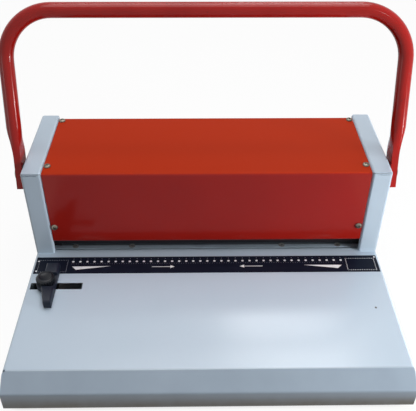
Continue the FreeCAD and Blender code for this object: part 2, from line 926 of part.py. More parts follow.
plate_bolt = prism(mm.plate_bolt_head, mm.plate_bolt_head_height, 6).fuse(
    prism(mm.plate_bolt_radius, plate_bolt_length).translated(Z * -plate_bolt_length)
)
sub_part(
    shaped("plate_bolt_set", copies(plate_bolt, [(spot, Z) for spot in plate_bolt_spots])), "plate_bolts"
)
post_pair = [
    rod(
        f"post_{name}",
        "z",
        (f"{sign} * post_x", "post_y", "guide_top - post_seat"),
        "post_radius",
        "post_seat + spring_length + ear_thickness + post_radius",
    )
    for name, sign in (("left", -1), ("right", 1))
]
sub_part(group("post_set", post_pair), "guide_posts")


# Return springs: a hidden coil, so its square wire steps round six to a turn
SPRING_STEPS = 6
spring_rise = (mm.spring_length - mm.spring_wire - 2 * mm.spring_clearance) / mm.spring_turns


def wire_section(i):
    """The square end of the wire after so many steps up the coil."""
    turn = 2 * math.pi * i / SPRING_STEPS
    outward = Vector(math.cos(turn), math.sin(turn), 0)
    middle = outward * mm.spring_radius + Z * (spring_rise * i / SPRING_STEPS)
    half = mm.spring_wire / 2
    corners = [
        middle + outward * (across * half) + Z * (up * half)
        for across, up in ((-1, -1), (1, -1), (1, 1), (-1, 1))
    ]
    return middle, Part.makePolygon(corners + corners[:1])


wire_steps = range(int(mm.spring_turns) * SPRING_STEPS + 1)
wire_middles, wire_sections = zip(*(wire_section(i) for i in wire_steps))
spring = Part.makeLoft(list(wire_sections), True, True)
coil_gap = min(
    first.distanceToPoint(second)
    for i, first in enumerate(wire_middles)
    for second in wire_middles[i + SPRING_STEPS // 2 :]
)
print(f"return spring: least gap between coils {coil_gap - mm.spring_wire:.2f} mm")
spring_floor = mm.guide_top + mm.spring_clearance + mm.spring_wire / 2
spring_spots = [((across * mm.post_x, mm.post_y, spring_floor), Z) for across in SIDES]
sub_part(shaped("spring_pair", copies(spring, spring_spots)), "return_springs")

# Punch bar: a heavy bar with a groove for the punches, an ear for each guide post and two pad seats
bar_block = span_box(
    "bar_block",
    ("-bar_half", "punch_y - bar_depth / 2", "bar_under"),
    ("bar_half", "punch_y + bar_depth / 2", "bar_top"),
)
bar_ears = [
    box(
        f"bar_ear_{name}",
        (f"{sign} * post_x - ear_width / 2", "punch_y", "ear_under"),
        ("ear_width", "post_setback + ear_margin", "ear_thickness"),
    )
    for name, sign in (("left", -1), ("right", 1))
]
ear_bores = [
    rod(
        f"ear_bore_{name}",
        "z",
        (f"{sign} * post_x", "post_y", "ear_under - sheet"),
        "post_radius + post_clearance",
        "ear_thickness + 2 * sheet",
    )
    for name, sign in (("left", -1), ("right", 1))
]
pads = [
    box(
        f"pad_{name}",
        (
            f"{sign} * cam_spacing / 2 - pad_length / 2",
            "punch_y - bar_depth / 2",
            "follower - pad_height",
        ),
        ("pad_length", "bar_depth", "pad_height"),
    )
    for name, sign in (("left", -1), ("right", 1))
]
sub_part(group("pad_pair", pads), "cam_pads")
punch_groove = span_box(
    "punch_groove",
    ("-row_half - groove_half", "punch_y - groove_half", "bar_under - sheet"),
    ("row_half + groove_half", "punch_y + groove_half", "bar_under + punch_seat"),
)
bar = cut("bar", fuse("bar_blank", [bar_block, *bar_ears]), [*ear_bores, *pads, punch_groove])
sub_part(bar, "punch_bar")
punch_tip = mm.guide_under + mm.tip_retreat
punch = prism(mm.punch_radius, mm.bar_under + mm.punch_seat - punch_tip)
sub_part(
    shaped("punch_row", copies(punch, [((x, mm.punch_y, punch_tip), Z) for x in punch_spots])),
    "punch_pins",
)

# Main shaft: runs in the bushes, with keys for the cams and squared ends for the lever
lean_back = Rotation(-X, mm.lever_lean)
shaft_middle = Vector(0, mm.shaft_y, mm.shaft_z)
journal_end = mm.flat_inner
square_length = mm.flat_thickness - mm.end_play
square_end = Part.makeBox(
    2 * (journal_end + square_length),
    mm.square_size,
    mm.square_size,
    Vector(-journal_end - square_length, -mm.square_size / 2, -mm.square_size / 2),
)
square_end.Placement = Placement(shaft_middle, lean_back).multiply(square_end.Placement)
lever_face = mm.flat_middle + mm.flat_thickness / 2
lever_screw_spots = both_sides([(lever_face, mm.shaft_y, mm.shaft_z)], X)
lever_screw_hole = bore(mm.lever_screw_radius, mm.lever_screw_length + OVERSHOOT)
lever_screw_hole.translate(Z * -(mm.lever_screw_length + OVERSHOOT))

cam_middles = [across * mm.cam_spacing / 2 for across in SIDES]
key_low = Vector(-mm.cam_width / 2, -mm.key_size / 2, mm.shaft_radius - mm.key_size / 2)
cam_key = Part.makeBox(mm.cam_width, mm.key_size, mm.key_size, shaft_middle + key_low)
cam_keys = Part.makeCompound([cam_key.translated(X * middle) for middle in cam_middles])
sub_part(shaped("key_pair", cam_keys), "cam_keys")

shaft_blank = Part.makeCylinder(
    mm.shaft_radius, 2 * journal_end, shaft_middle - X * journal_end, X
).fuse(square_end)
shaft = shaft_blank.cut([copies(lever_screw_hole, lever_screw_spots), cam_keys]).removeSplitter()
sub_part(shaped("shaft", shaft), "main_shaft")


# Lift cams: the edge is an involute, so the flat pad below sinks evenly as the lever turns
def cam_edge_point(turn):
    """The edge point that touches the pad after a turn of the lever, as the cam stands at rest."""
    facing = -math.pi / 2 - turn
    lift = mm.cam_base + mm.cam_rise * turn
    return Vector(
        0,
        lift * math.cos(facing) + mm.cam_rise * math.sin(facing),
        lift * math.sin(facing) - mm.cam_rise * math.cos(facing),
    )


def tangent_point(point, radius, side):
    """Where a line from a point meets a circle round the shaft axis, on the chosen side."""
    along = math.atan2(point.z, point.y)
    turn = along + side * math.acos(radius / point.Length)
    return Vector(0, radius * math.cos(turn), radius * math.sin(turn))


run_in = math.radians(mm.cam_run_in)
run_out = math.radians(mm.lever_swing + mm.cam_run_out)
edge_steps = 8
edge_turns = [-run_in + (run_out + run_in) * i / edge_steps for i in range(edge_steps + 1)]
edge_points = [cam_edge_point(turn) for turn in edge_turns]
edge_arcs = [Part.Arc(*edge_points[i : i + 3]).toShape() for i in range(0, edge_steps, 2)]
nose_seat = tangent_point(edge_points[-1], mm.cam_hub_radius, -1)
heel_seat = tangent_point(edge_points[0], mm.cam_hub_radius, 1)
lobe_edges = edge_arcs + [
    Part.makeLine(start, end)
    for start, end in (
        (edge_points[-1], nose_seat),
        (nose_seat, Vector()),
        (Vector(), heel_seat),
        (heel_seat, edge_points[0]),
    )
]
lobe = Part.Face(Part.Wire(lobe_edges)).extrude(X * mm.cam_width)
hub = Part.makeCylinder(mm.cam_hub_radius, mm.cam_width, Vector(), X)
cam_bore = Part.makeCylinder(mm.shaft_radius + mm.running_fit, mm.cam_width, Vector(), X)
cam_blank = hub.fuse(lobe).removeSplitter().cut(cam_bore)
cam_blank.translate(shaft_middle - X * mm.cam_width / 2)
cams = Part.makeCompound([cam_blank.translated(X * middle).cut(cam_keys) for middle in cam_middles])
sub_part(shaped("cam_pair", cams), "lift_cams")


# Lever: a bent tube whose two ends are pressed flat
TAPER_STEPS = 5


def tube_section(share, level, across):
    """The tube's outline at a height: share 1 is round, 0 is pressed flat towards the housing."""
    middle = across * (share * mm.lever_middle + (1 - share) * mm.flat_middle)
    round_corner = mm.tube_radius * math.sqrt(0.5)
    thick = share * mm.tube_radius + (1 - share) * mm.flat_thickness / 2
    wide = share * mm.tube_radius + (1 - share) * mm.flat_width / 2
    x = share * round_corner + (1 - share) * mm.flat_thickness / 2
    y = share * round_corner + (1 - share) * mm.flat_width / 2
    corner_plan = ((x, -y), (x, y), (-x, y), (-x, -y))
    crown_plan = ((thick, 0), (0, wide), (-thick, 0), (0, -wide))
    corners = [Vector(middle + out, along, level) for out, along in corner_plan]
    crowns = [Vector(middle + out, along, level) for out, along in crown_plan]
    edges = []
    for i, crown in enumerate(crowns):
        start, end = corners[i], corners[(i + 1) % 4]
        straight = crown.distanceToLine(start, end - start) < 1e-6
        edges.append(Part.makeLine(start, end) if straight else Part.Arc(start, crown, end).toShape())
    return Part.Wire(edges)


def lever_end(across):
    """One pressed end: a smooth taper from the round tube, and the flat with its square-cut tail."""
    stations = [i / TAPER_STEPS for i in range(TAPER_STEPS + 1)]
    sections = [
        tube_section(t * t * (3 - 2 * t), mm.flat_length + mm.taper_length * t, across) for t in stations
    ]
    taper = Part.makeLoft(sections, True, True)
    low = Vector(across * mm.flat_middle - mm.flat_thickness / 2, -mm.flat_width / 2, -mm.flat_tail)
    flat = Part.makeBox(mm.flat_thickness, mm.flat_width, mm.flat_tail + mm.flat_length, low)
    hole_size = mm.square_size + 2 * mm.running_fit
    hole = Part.makeBox(
        mm.flat_thickness, hole_size, hole_size, Vector(low.x, -hole_size / 2, -hole_size / 2)
    )
    return taper, flat.cut(hole)


def tube_path():
    """The tube's middle line: up one side, across the top and down the other."""
    half, reach, bend = mm.lever_middle, mm.lever_reach, mm.tube_bend
    foot = mm.flat_length + mm.taper_length
    slant = bend * math.sqrt(0.5)
    left = [Vector(-half, 0, foot), Vector(-half, 0, reach - bend), Vector(-half + bend, 0, reach)]
    left_bend = Vector(-half + bend - slant, 0, reach - bend + slant)
    right = [Vector(-point.x, 0, point.z) for point in reversed(left)]
    right_bend = Vector(-left_bend.x, 0, left_bend.z)
    return Part.Wire(
        [
            Part.makeLine(left[0], left[1]),
            Part.Arc(left[1], left_bend, left[2]).toShape(),
            Part.makeLine(left[2], right[0]),
            Part.Arc(right[0], right_bend, right[1]).toShape(),
            Part.makeLine(right[1], right[2]),
        ]
    )


tube_foot = Vector(-mm.lever_middle, 0, mm.flat_length + mm.taper_length)
tube_ring = Part.Wire([Part.makeCircle(mm.tube_radius, tube_foot, Z)])
tube = tube_path().makePipeShell([tube_ring], True, False)
lever_ends = [piece for across in SIDES for piece in lever_end(across)]
lever = tube.fuse(lever_ends)
sub_part(shaped("lever_tube", lever, Placement(shaft_middle, lean_back)), "lever")
lever_spacer_length = mm.flat_inner - mm.side - mm.end_play
lever_spacer = prism(mm.spacer_radius, lever_spacer_length, 2 * HEAD_SIDES).cut(
    bore(mm.shaft_radius, lever_spacer_length)
)
lever_spacer_spots = both_sides([(mm.side + mm.end_play, mm.shaft_y, mm.shaft_z)], X)
sub_part(shaped("lever_spacer_pair", copies(lever_spacer, lever_spacer_spots)), "lever_spacers")
lever_screw = pan_screw(
    mm.lever_screw_head, mm.lever_screw_height, mm.lever_screw_radius, mm.lever_screw_length
)
sub_part(shaped("lever_screw_pair", copies(lever_screw, lever_screw_spots)), "lever_screws")

# Edge guide: a moulded fence with a tapered nose, a saddle for the knob and a tongue in the slot
fence_body = new_body("fence_body")
fence_plan = new_sketch(fence_body, "fence_plan", "XY_Plane", "guide_seat")
fence_right = "stud_x + fence_offset"
fence_rear = "face - fence_back"
outline(
    fence_plan,
    [
        (fence_right, fence_rear),
        (f"{fence_right} - fence_width", fence_rear),
        (f"{fence_right} - fence_width", f"{fence_rear} - fence_length + nose_length"),
        (f"{fence_right} - nose_width", f"{fence_rear} - fence_length"),
        (fence_right, f"{fence_rear} - fence_length"),
    ],
)
fence_pad = pad(fence_body, "fence_pad", fence_plan, "fence_height")
doc.recompute()
fence_top = mm.guide_seat + mm.fence_height
fence_edges = fence_body.newObject("PartDesign::Chamfer", "fence_edges")
top_edges = [
    f"Edge{i}" for i, edge in enumerate(fence_pad.Shape.Edges, 1) if near(edge.BoundBox.ZMin, fence_top)
]
fence_edges.Base = (fence_pad, top_edges)
fence_edges.setExpression("Size", bound("fence_chamfer"))
guide_ear = rod(
    "guide_ear", "z", ("stud_x", "stud_y", "guide_seat"), "guide_ear_radius", "guide_ear_height"
)
knob_saddle = span_box(
    "knob_saddle",
    ("stud_x - guide_ear_radius", "stud_y - knob_radius - guide_clearance", "ear_seat"),
    ("stud_x + guide_ear_radius + sheet", "stud_y + knob_radius + guide_clearance", "top"),
)
tongue = box(
    "tongue",
    ("stud_x - tongue_length / 2", "stud_y - slot_width / 2 + guide_clearance", "table_under"),
    ("tongue_length", "slot_width - 2 * guide_clearance", "guide_seat - table_under + sheet"),
)
stud_bore = rod(
    "stud_bore",
    "z",
    ("stud_x", "stud_y", "table_under - sheet"),
    "stud_radius + guide_clearance",
    "ear_seat - table_under + 2 * sheet",
)
fence_blank = fuse("fence_blank", [cut("fence_relieved", fence_body, [knob_saddle]), guide_ear, tongue])
sub_part(cut("fence", fence_blank, [stud_bore]), "guide_fence")

# Clamp under the table, with its stud, and the fluted knob on top
clamp_top = "table_under - guide_clearance"
clamp_blank = box(
    "clamp_blank",
    ("stud_x - clamp_length / 2", "stud_y - clamp_width / 2", f"{clamp_top} - clamp_thickness"),
    ("clamp_length", "clamp_width", "clamp_thickness"),
)
clamp_bore = shaped(
    "clamp_bore",
    bore(mm.stud_radius, mm.ear_seat),
    Placement(Vector(mm.stud_x, mm.stud_y, 0), Rotation()),
)
sub_part(cut("clamp", clamp_blank, [clamp_bore]), "clamp_plate")
stud_seat = mm.table_under - mm.guide_clearance - mm.clamp_thickness
stud_length = mm.ear_seat + mm.stud_grip - stud_seat
stud = prism(mm.stud_radius, stud_length).translated(Z * stud_seat).fuse(
    prism(mm.stud_head_radius, mm.stud_head_height).translated(Z * (stud_seat - mm.stud_head_height))
)
stud_place = Placement(Vector(mm.stud_x, mm.stud_y, 0), Rotation())
sub_part(shaped("stud", stud, stud_place), "clamp_stud")


def lobed(radius, low, high):
    """A step of the knob, with a lobe and a hollow for each finger grip."""
    count = 2 * int(mm.knob_lobes)
    corners = []
    for i in range(count):
        reach = radius - (mm.knob_hollow if i % 2 else 0)
        turn = 2 * math.pi * i / count
        corners.append(Vector(reach * math.cos(turn), reach * math.sin(turn), low))
    return Part.Face(Part.makePolygon(corners + corners[:1])).extrude(Z * (high - low))


knob_shoulder = mm.knob_height - mm.knob_cap
knob_bore = prism(mm.stud_radius + 2 * mm.guide_clearance, mm.stud_grip + mm.guide_clearance)
knob_cap = lobed(mm.knob_radius - mm.knob_cap, knob_shoulder, mm.knob_height)
knob = lobed(mm.knob_radius, 0, knob_shoulder).fuse(knob_cap).cut(knob_bore)
knob_place = Placement(Vector(mm.stud_x, mm.stud_y, mm.ear_seat), Rotation())
sub_part(shaped("knob", knob, knob_place), "clamp_knob")

# Chip tray under the die, drawn out at the back by a finger notch, on two angle runners
tray_block = span_box(
    "tray_block", ("-tray_half", "tray_face", "tray_floor"), ("tray_half", "back", "tray_rim")
)
tray_space = span_box(
    "tray_space",
    ("-tray_half + tray_wall", "tray_face + tray_wall", "tray_floor + tray_wall"),
    ("tray_half - tray_wall", "back - tray_wall", "tray_rim + sheet"),
)
tray_notch = rod(
    "tray_notch",
    "y",
    ("0", "back - tray_wall - sheet", "tray_rim"),
    "tray_notch_radius",
    "tray_wall + 2 * sheet",
)
sub_part(cut("tray", tray_block, [tray_space, tray_notch]), "chip_tray")
runner_front = "die_back + runner_gap"
runner_back = "back - return_flange - tray_clearance"
runner_web = span_box(
    "runner_web",
    ("tray_half + tray_clearance", runner_front, "foot_height"),
    ("tray_half + tray_clearance + sheet", runner_back, "table_under"),
)
runner_foot = span_box(
    "runner_foot",
    ("tray_half - runner_leg", runner_front, "foot_height"),
    ("tray_half + tray_clearance + sheet", runner_back, "foot_height + sheet"),
)
right_runner = fuse("right_runner", [runner_web, runner_foot])
sub_part(group("runner_pair", [right_runner, mirrored("left_runner", right_runner)]), "tray_runners")

# Every object has to be sound before anything is written
doc.recompute()
failed = [item.Name for item in doc.Objects if {"Invalid", "Error"} & set(item.State)]
failed += [piece.Label for piece in sub_parts if piece.Shape.isNull() or not piece.Shape.isValid()]
if failed:
    raise RuntimeError("these did not build: " + ", ".join(failed))
os.makedirs("parts", exist_ok=True)
for piece in sub_parts:
    piece.Shape.exportStep(f"parts/{piece.Label}.step")
print(f"{len(sub_parts)} sub-parts, {sum(len(piece.Shape.Solids) for piece in sub_parts)} solids")
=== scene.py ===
# %% [markdown]
# # A desktop hole punch for coil binding
# The machine is a folded white steel table with a red punch housing and a bent-tube lever. Every
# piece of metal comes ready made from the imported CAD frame, in metres. This lesson gives each piece
# its finish and adds the fine things that CAD leaves out: printed marks, screw recesses and moulding.

import json
import math

import bmesh
import bpy
from mathutils import Matrix, Vector


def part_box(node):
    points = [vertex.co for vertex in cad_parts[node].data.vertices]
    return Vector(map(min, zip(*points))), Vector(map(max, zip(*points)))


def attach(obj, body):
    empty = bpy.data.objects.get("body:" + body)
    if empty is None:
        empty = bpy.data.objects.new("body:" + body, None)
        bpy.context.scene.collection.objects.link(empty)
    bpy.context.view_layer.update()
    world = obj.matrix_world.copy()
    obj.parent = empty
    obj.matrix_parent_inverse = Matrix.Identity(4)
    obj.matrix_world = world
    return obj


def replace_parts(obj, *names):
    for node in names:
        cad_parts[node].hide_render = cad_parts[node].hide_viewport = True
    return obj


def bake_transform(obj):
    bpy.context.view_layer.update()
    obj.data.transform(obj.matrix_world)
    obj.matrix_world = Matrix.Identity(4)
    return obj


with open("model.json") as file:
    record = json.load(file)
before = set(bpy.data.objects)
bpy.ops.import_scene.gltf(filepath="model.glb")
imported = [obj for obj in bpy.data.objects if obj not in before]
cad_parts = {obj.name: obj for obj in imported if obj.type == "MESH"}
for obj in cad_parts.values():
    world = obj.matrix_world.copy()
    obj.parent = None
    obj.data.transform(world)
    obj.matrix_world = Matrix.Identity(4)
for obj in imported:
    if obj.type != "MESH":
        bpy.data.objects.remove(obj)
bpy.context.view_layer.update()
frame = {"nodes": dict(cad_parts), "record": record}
nodes = frame["nodes"]
scene = bpy.context.scene
MM = 0.001

# %% [markdown]
# ## Camera
# The photograph looks down on the table from in front. Its focal length and place were worked out
# from the outlines of the housing and the table, so the CAD lines fall on the lines of the picture.
# A camera can be aimed by hand or from angles; angles are repeatable, so they are used here.

# %% Camera
CAMERA_PLACE = (-0.00717, -0.4561, 0.47173)
CAMERA_DOWN = math.radians(37.858)
CAMERA_YAW = math.radians(0.943)
CAMERA_ROLL = math.radians(0.265)
CAMERA_LENS = 54.578
camera_data = bpy.data.cameras.new("photo_camera")
camera_data.sensor_fit = "HORIZONTAL"
camera_data.sensor_width = 36.0
camera_data.lens = CAMERA_LENS
camera_data.clip_start = 0.01
camera = bpy.data.objects.new("photo_camera", camera_data)
camera.location = CAMERA_PLACE
aim = Matrix.Rotation(-CAMERA_YAW, 3, "Z") @ Matrix.Rotation(math.pi / 2 - CAMERA_DOWN, 3, "X")
camera.rotation_euler = (aim @ Matrix.Rotation(CAMERA_ROLL, 3, "Z")).to_euler()
scene.collection.objects.link(camera)
scene.camera = camera
print("camera at", [round(v, 3) for v in camera.location], "lens", camera_data.lens)

# %% [markdown]
# ## Lamps
# The picture was taken in soft light that is strongest from the right: the right end cap is half as
# bright again as the left one, while the lip below the table stays dark. Lamps low at both sides, level
# with the housing, do that, and two above light the tops. Plain light and shine are kept apart where one
# lamp doesn't suit both: the window behind only mirrors in the table, and a small lamp that is lower
# than the housing's top only draws the bright lines along the lever.


# %% Lamps
def soft_lamp(name, place, target, size, power, plain=True, shine=True):
    """A rectangular lamp that points at a spot; it can leave out its plain light or its shine."""
    data = bpy.data.lights.new(name, "AREA")
    data.shape = "RECTANGLE"
    data.size, data.size_y = size
    data.energy = power
    lamp = bpy.data.objects.new(name, data)
    lamp.location = place
    lamp.rotation_euler = (Vector(target) - Vector(place)).to_track_quat("-Z", "Y").to_euler()
    lamp.visible_diffuse, lamp.visible_glossy = plain, shine
    scene.collection.objects.link(lamp)
    return lamp


lamps = [
    soft_lamp("ceiling_lamp", (0.0, -0.05, 1.5), (0.0, 0.0, 0.0), (1.2, 0.9), 9.8),
    soft_lamp("back_lamp", (0.1, 0.48, 1.35), (0.0, 0.0, 0.05), (1.0, 0.5), 6.5),
    soft_lamp("window_lamp", (0.26, 0.82, 1.15), (0.0, -0.05, 0.05), (0.4, 0.2), 2.0, plain=False),
    soft_lamp("right_lamp", (0.62, -0.27, 0.16), (0.1, 0.0, 0.08), (0.2, 0.2), 4.0, shine=False),
    soft_lamp("shine_lamp", (0.62, -0.25, 0.105), (0.0, 0.05, 0.2), (0.08, 0.04), 1.0, plain=False),
    soft_lamp("left_lamp", (-0.62, -0.25, 0.20), (-0.1, 0.0, 0.08), (0.2, 0.2), 0.2),
    soft_lamp("bulb_lamp", (0.75, -1.05, 0.95), (0.0, 0.05, 0.15), (0.1, 0.1), 0.6),
]
scene.view_settings.view_transform = "Standard"
print("lamps:", [(lamp.name, lamp.data.energy) for lamp in lamps])

# %% [markdown]
# ## A small language for shader maths
# A procedural finish is a sum of noises, masks and ramps. Wiring Math nodes one by one hides the
# idea, so a socket is wrapped in a class whose operators add the node. `make` makes any other node:
# its settings come first, then the values or links of its sockets.


# %% Shader helper
class Wire:
    """An output socket that can be used in a Python expression."""

    def __init__(self, book, socket):
        self.book = book
        self.socket = socket

    def _math(self, operation, *terms):
        return self.book.make("ShaderNodeMath", {"operation": operation}, dict(enumerate(terms)))

    def __add__(self, other):
        return self._math("ADD", self, other)

    def __sub__(self, other):
        return self._math("SUBTRACT", self, other)

    def __rsub__(self, other):
        return self._math("SUBTRACT", other, self)

    def __mul__(self, other):
        return self._math("MULTIPLY", self, other)

    def __pow__(self, other):
        return self._math("POWER", self, other)

    __radd__ = __add__
    __rmul__ = __mul__

    def sine(self):
        return self._math("SINE", self)

    def above(self, edge, soft):
        """0 below an edge, 1 above it, with a soft step between."""
        stops = {0: self, 1: edge - soft, 2: edge + soft, 3: 0.0, 4: 1.0}
        return self.book.make("ShaderNodeMapRange", {"interpolation_type": "SMOOTHSTEP"}, stops)

    def between(self, low, high, soft):
        return self.above(low, soft) - self.above(high, soft)


class NodeBook:
    """A node tree that is filled by make and feed."""

    def __init__(self, tree):
        self.tree = tree

    def make(self, kind, settings, inputs, output=0):
        node = self.tree.nodes.new(kind)
        for key, value in settings.items():
            setattr(node, key, value)
        for key, value in inputs.items():
            self.feed(node.inputs[key], value)
        return Wire(self, node.outputs[output]) if node.outputs else node

    def feed(self, socket, value):
        if isinstance(value, Wire):
            self.tree.links.new(value.socket, socket)
        else:
            socket.default_value = value

    def seen(self):
        """1 for what the camera, a mirror or clear glass looks at, and 0 for light that spreads."""
        kinds = ("Is Camera Ray", "Is Glossy Ray", "Is Transmission Ray")
        eye, mirror, glass = [self.make("ShaderNodeLightPath", {}, {}, kind) for kind in kinds]
        return self.make("ShaderNodeClamp", {}, {0: eye + mirror + glass})


SOCKETS = {"specular": "Specular IOR Level"}


class Finish(NodeBook):
    """A material under construction, with one principled shader."""

    def __init__(self, name):
        self.material = bpy.data.materials.new(name)
        self.material.use_nodes = True
        super().__init__(self.material.node_tree)
        self.shader = next(n for n in self.tree.nodes if n.type == "BSDF_PRINCIPLED")
        self.place = self.make("ShaderNodeTexCoord", {}, {}, "Object")

    def set(self, **inputs):
        """Set or link the shader's sockets; base_color stands for Base Color."""
        for key, value in inputs.items():
            self.feed(self.shader.inputs[SOCKETS.get(key, key.replace("_", " ").title())], value)

    def noise(self, scale, detail=3.0, place=None, rough=0.5):
        inputs = {"Vector": place or self.place, "Scale": scale}
        inputs |= {"Detail": detail, "Roughness": rough}
        return self.make("ShaderNodeTexNoise", {}, inputs)

    def stretched(self, x, y, z):
        """Object coordinates with each axis scaled, for grain that runs one way."""
        return self.make("ShaderNodeMapping", {}, {"Vector": self.place, "Scale": (x, y, z)})

    def axes(self):
        node = self.make("ShaderNodeSeparateXYZ", {}, {0: self.place}).socket.node
        return [Wire(self, socket) for socket in node.outputs]

    def mix(self, factor, first, second):
        inputs = {0: factor, 6: first, 7: second}
        return self.make("ShaderNodeMix", {"data_type": "RGBA"}, inputs, 2)

    def bumped(self, height, strength, distance):
        inputs = {"Height": height, "Strength": strength, "Distance": distance}
        self.set(normal=self.make("ShaderNodeBump", {}, inputs))


def linear(red, green, blue):
    """A colour picked as 0-255 screen values, as the linear values that a shader takes."""
    shares = (red / 255, green / 255, blue / 255)
    curve = [v / 12.92 if v <= 0.04045 else ((v + 0.055) / 1.055) ** 2.4 for v in shares]
    return (*curve, 1.0)


print("linear mid grey:", [round(v, 3) for v in linear(128, 128, 128)])

# %% [markdown]
# ## Floor and world
# The photograph's background was cut away to white. A floor lit to pure white would throw too much
# light up under the machine, so the floor is a white sheet to the camera and to reflections, and a
# grey one to light that spreads. It keeps the machine's shadow, which is deepest under the table, and
# it grows purely white with distance, so that it meets the world without a line.

# %% Floor and world
FLOOR_HALF = 6.0
FLOOR_LEVEL = -0.0004
SHADE_X, SHADE_Y, SHADE_SOFT = 0.168, 0.130, 0.006
PURE_WHITE = (1.0, 1.0, 1.0, 1.0)
floor_mesh = bpy.data.meshes.new("floor")
plan = [(-1, -1), (1, -1), (1, 1), (-1, 1)]
corners = [(x * FLOOR_HALF, y * FLOOR_HALF, FLOOR_LEVEL) for x, y in plan]
floor_mesh.from_pydata(corners, [], [(0, 1, 2, 3)])
floor = bpy.data.objects.new("floor", floor_mesh)
scene.collection.objects.link(floor)
paper = Finish("floor_paper")
grain = paper.noise(900.0, 2.0)
paper.set(base_color=paper.mix(grain, linear(98, 97, 95), linear(106, 105, 103)), roughness=0.9)
across, along, _ = paper.axes()
footprint = across.between(-SHADE_X, SHADE_X, SHADE_SOFT)
footprint = footprint * along.between(-SHADE_Y, SHADE_Y, SHADE_SOFT)
far = ((across ** 2 + along ** 2) ** 0.5).above(1.2, 0.7)
glow = (1 - footprint) * (0.93 + far * 0.07)
white_sheet = paper.make("ShaderNodeBsdfDiffuse", {}, {"Color": linear(250, 250, 250)})
white_glow = paper.make("ShaderNodeEmission", {}, {"Color": PURE_WHITE, "Strength": 1.0})
sheet = paper.make("ShaderNodeMixShader", {}, {0: glow, 1: white_sheet, 2: white_glow})
plain = Wire(paper, paper.shader.outputs[0])
shown = paper.make("ShaderNodeMixShader", {}, {0: paper.seen(), 1: plain, 2: sheet})
paper.feed(paper.tree.get_output_node("ALL").inputs["Surface"], shown)
floor_mesh.materials.append(paper.material)

world = bpy.data.worlds.new("studio")
world.use_nodes = True
scene.world = world
sky = NodeBook(world.node_tree)
COOL_SKY = (0.88, 0.91, 0.95, 1.0)
soft_sky = sky.make("ShaderNodeBackground", {}, {"Color": COOL_SKY, "Strength": 0.05})
white_sky = sky.make("ShaderNodeBackground", {}, {"Color": PURE_WHITE, "Strength": 1.0})
both = sky.make("ShaderNodeMixShader", {}, {0: sky.seen(), 1: soft_sky, 2: white_sky})
sky.feed(world.node_tree.get_output_node("ALL").inputs["Surface"], both)
print("floor", FLOOR_HALF * 2, "m wide; world nodes:", len(world.node_tree.nodes))

# %% [markdown]
# ## Powder coat
# Table and end caps are powder coated in a cool white, and the housing in a satin red. A powder coat
# has a faint orange-peel ripple, a slightly uneven gloss and specks of dust in it. One function makes
# the coat; each sheet adds its own marks through `touch`: the table also painted shade, the housing
# painted light.


# %% Powder coat
SLOT_ACROSS, SLOT_ALONG = (-0.1717, -0.1213), (-0.02445, -0.01555)
TABLE_SKIN = 0.03470
CHIP_X, CHIP_Y, CHIP_RADIUS = 0.157, -0.051, 0.00155
BEVEL_HALF, BEVEL_LINE = 0.1746, -0.1190
LIP_SHADE_LEVEL = 0.016
SEAM_LOW, SEAM_HIGH, CAP_FRONT = 0.13245, 0.13305, 0.0288
COVER_TOP = 0.1320


def powder_coat(name, colour, shade, gloss, coat, peel, specular=0.5, touch=None, wave=0.0):
    """Two close tones in broad clouds, fine specks, a rippled skin and the sheet's own marks."""
    finish = Finish(name)
    colour, shade = linear(*colour), linear(*shade)
    clouds = finish.noise(9.0, 2.0).above(0.5, 0.25)
    specks = finish.noise(520.0, 2.0, rough=0.7).above(0.69, 0.03)
    tone = finish.mix(specks * 0.35, finish.mix(clouds, colour, shade), shade)
    finish.set(coat_weight=coat, coat_roughness=0.14, specular=specular)
    finish.set(
        base_color=touch(finish, tone) if touch else tone,
        roughness=gloss + finish.noise(34.0, 3.0) * 0.05,
    )
    ripple = finish.noise(420.0, 1.0)
    if wave:
        ripple = ripple + finish.noise(6.0, 1.0, finish.stretched(0.6, 1.6, 1.0)) * wave
    finish.bumped(ripple, peel, 0.0004)
    return finish.material


def table_marks_and_shade(finish, tone):
    """Painted shade in the slot's cut wall, on the bevel and below the lip's level; a chip in the paint.
    """
    across, along, up = finish.axes()
    slot = across.between(*SLOT_ACROSS, 0.0001) * along.between(*SLOT_ALONG, 0.0001)
    # Painted shade: the slot's wall below the table's skin is painted nearly black.
    slot_wall_shade = slot * (1 - up.above(TABLE_SKIN, 0.00005))
    wobble = finish.noise(700.0, 2.0) * 0.0011
    chip_reach = ((across - CHIP_X) ** 2 + (along - CHIP_Y) ** 2) ** 0.5 + wobble
    chip = (1 - chip_reach.above(CHIP_RADIUS, 0.0002)) * up.above(0.034, 0.0005)
    # Painted shade: the bevel, which faces forward, is painted a darker blue-grey.
    bevel = across.between(-BEVEL_HALF, BEVEL_HALF, 0.0002) * (1 - along.above(BEVEL_LINE, 0.0012))
    bevel_shade = bevel * (0.5 + finish.noise(30.0, 3.0) * 0.2)
    tone = finish.mix(bevel_shade, tone, linear(118, 132, 148))
    # Painted shade: below the lip's level the colour goes darker and warmer.
    lip_shade = (1 - up.above(LIP_SHADE_LEVEL, 0.008)) * (0.75 + finish.noise(60.0, 4.0) * 0.35)
    tone = finish.mix(lip_shade, tone, linear(86, 80, 70))
    tone = finish.mix(chip, tone, linear(92, 92, 96))
    return finish.mix(slot_wall_shade, tone, linear(30, 32, 36))


def cap_marks(finish, tone):
    """The open seam where the cap's top is folded down to its front."""
    _, along, up = finish.axes()
    seam = up.between(SEAM_LOW, SEAM_HIGH, 0.00012) * (1 - along.above(CAP_FRONT, 0.0003))
    return finish.mix(seam * 0.75, tone, linear(70, 78, 88))


def cover_top_light(finish, tone):
    """Painted light: the top is painted a brighter, more orange red than the front; only the front has a
    coat.
    """
    _, _, up = finish.axes()
    top = up.above(COVER_TOP, 0.0006)
    finish.set(coat_weight=(1 - top) * 0.4)
    # Painted light: the top is painted a brighter, more orange red than the front.
    return finish.mix(top, tone, linear(186, 50, 15))


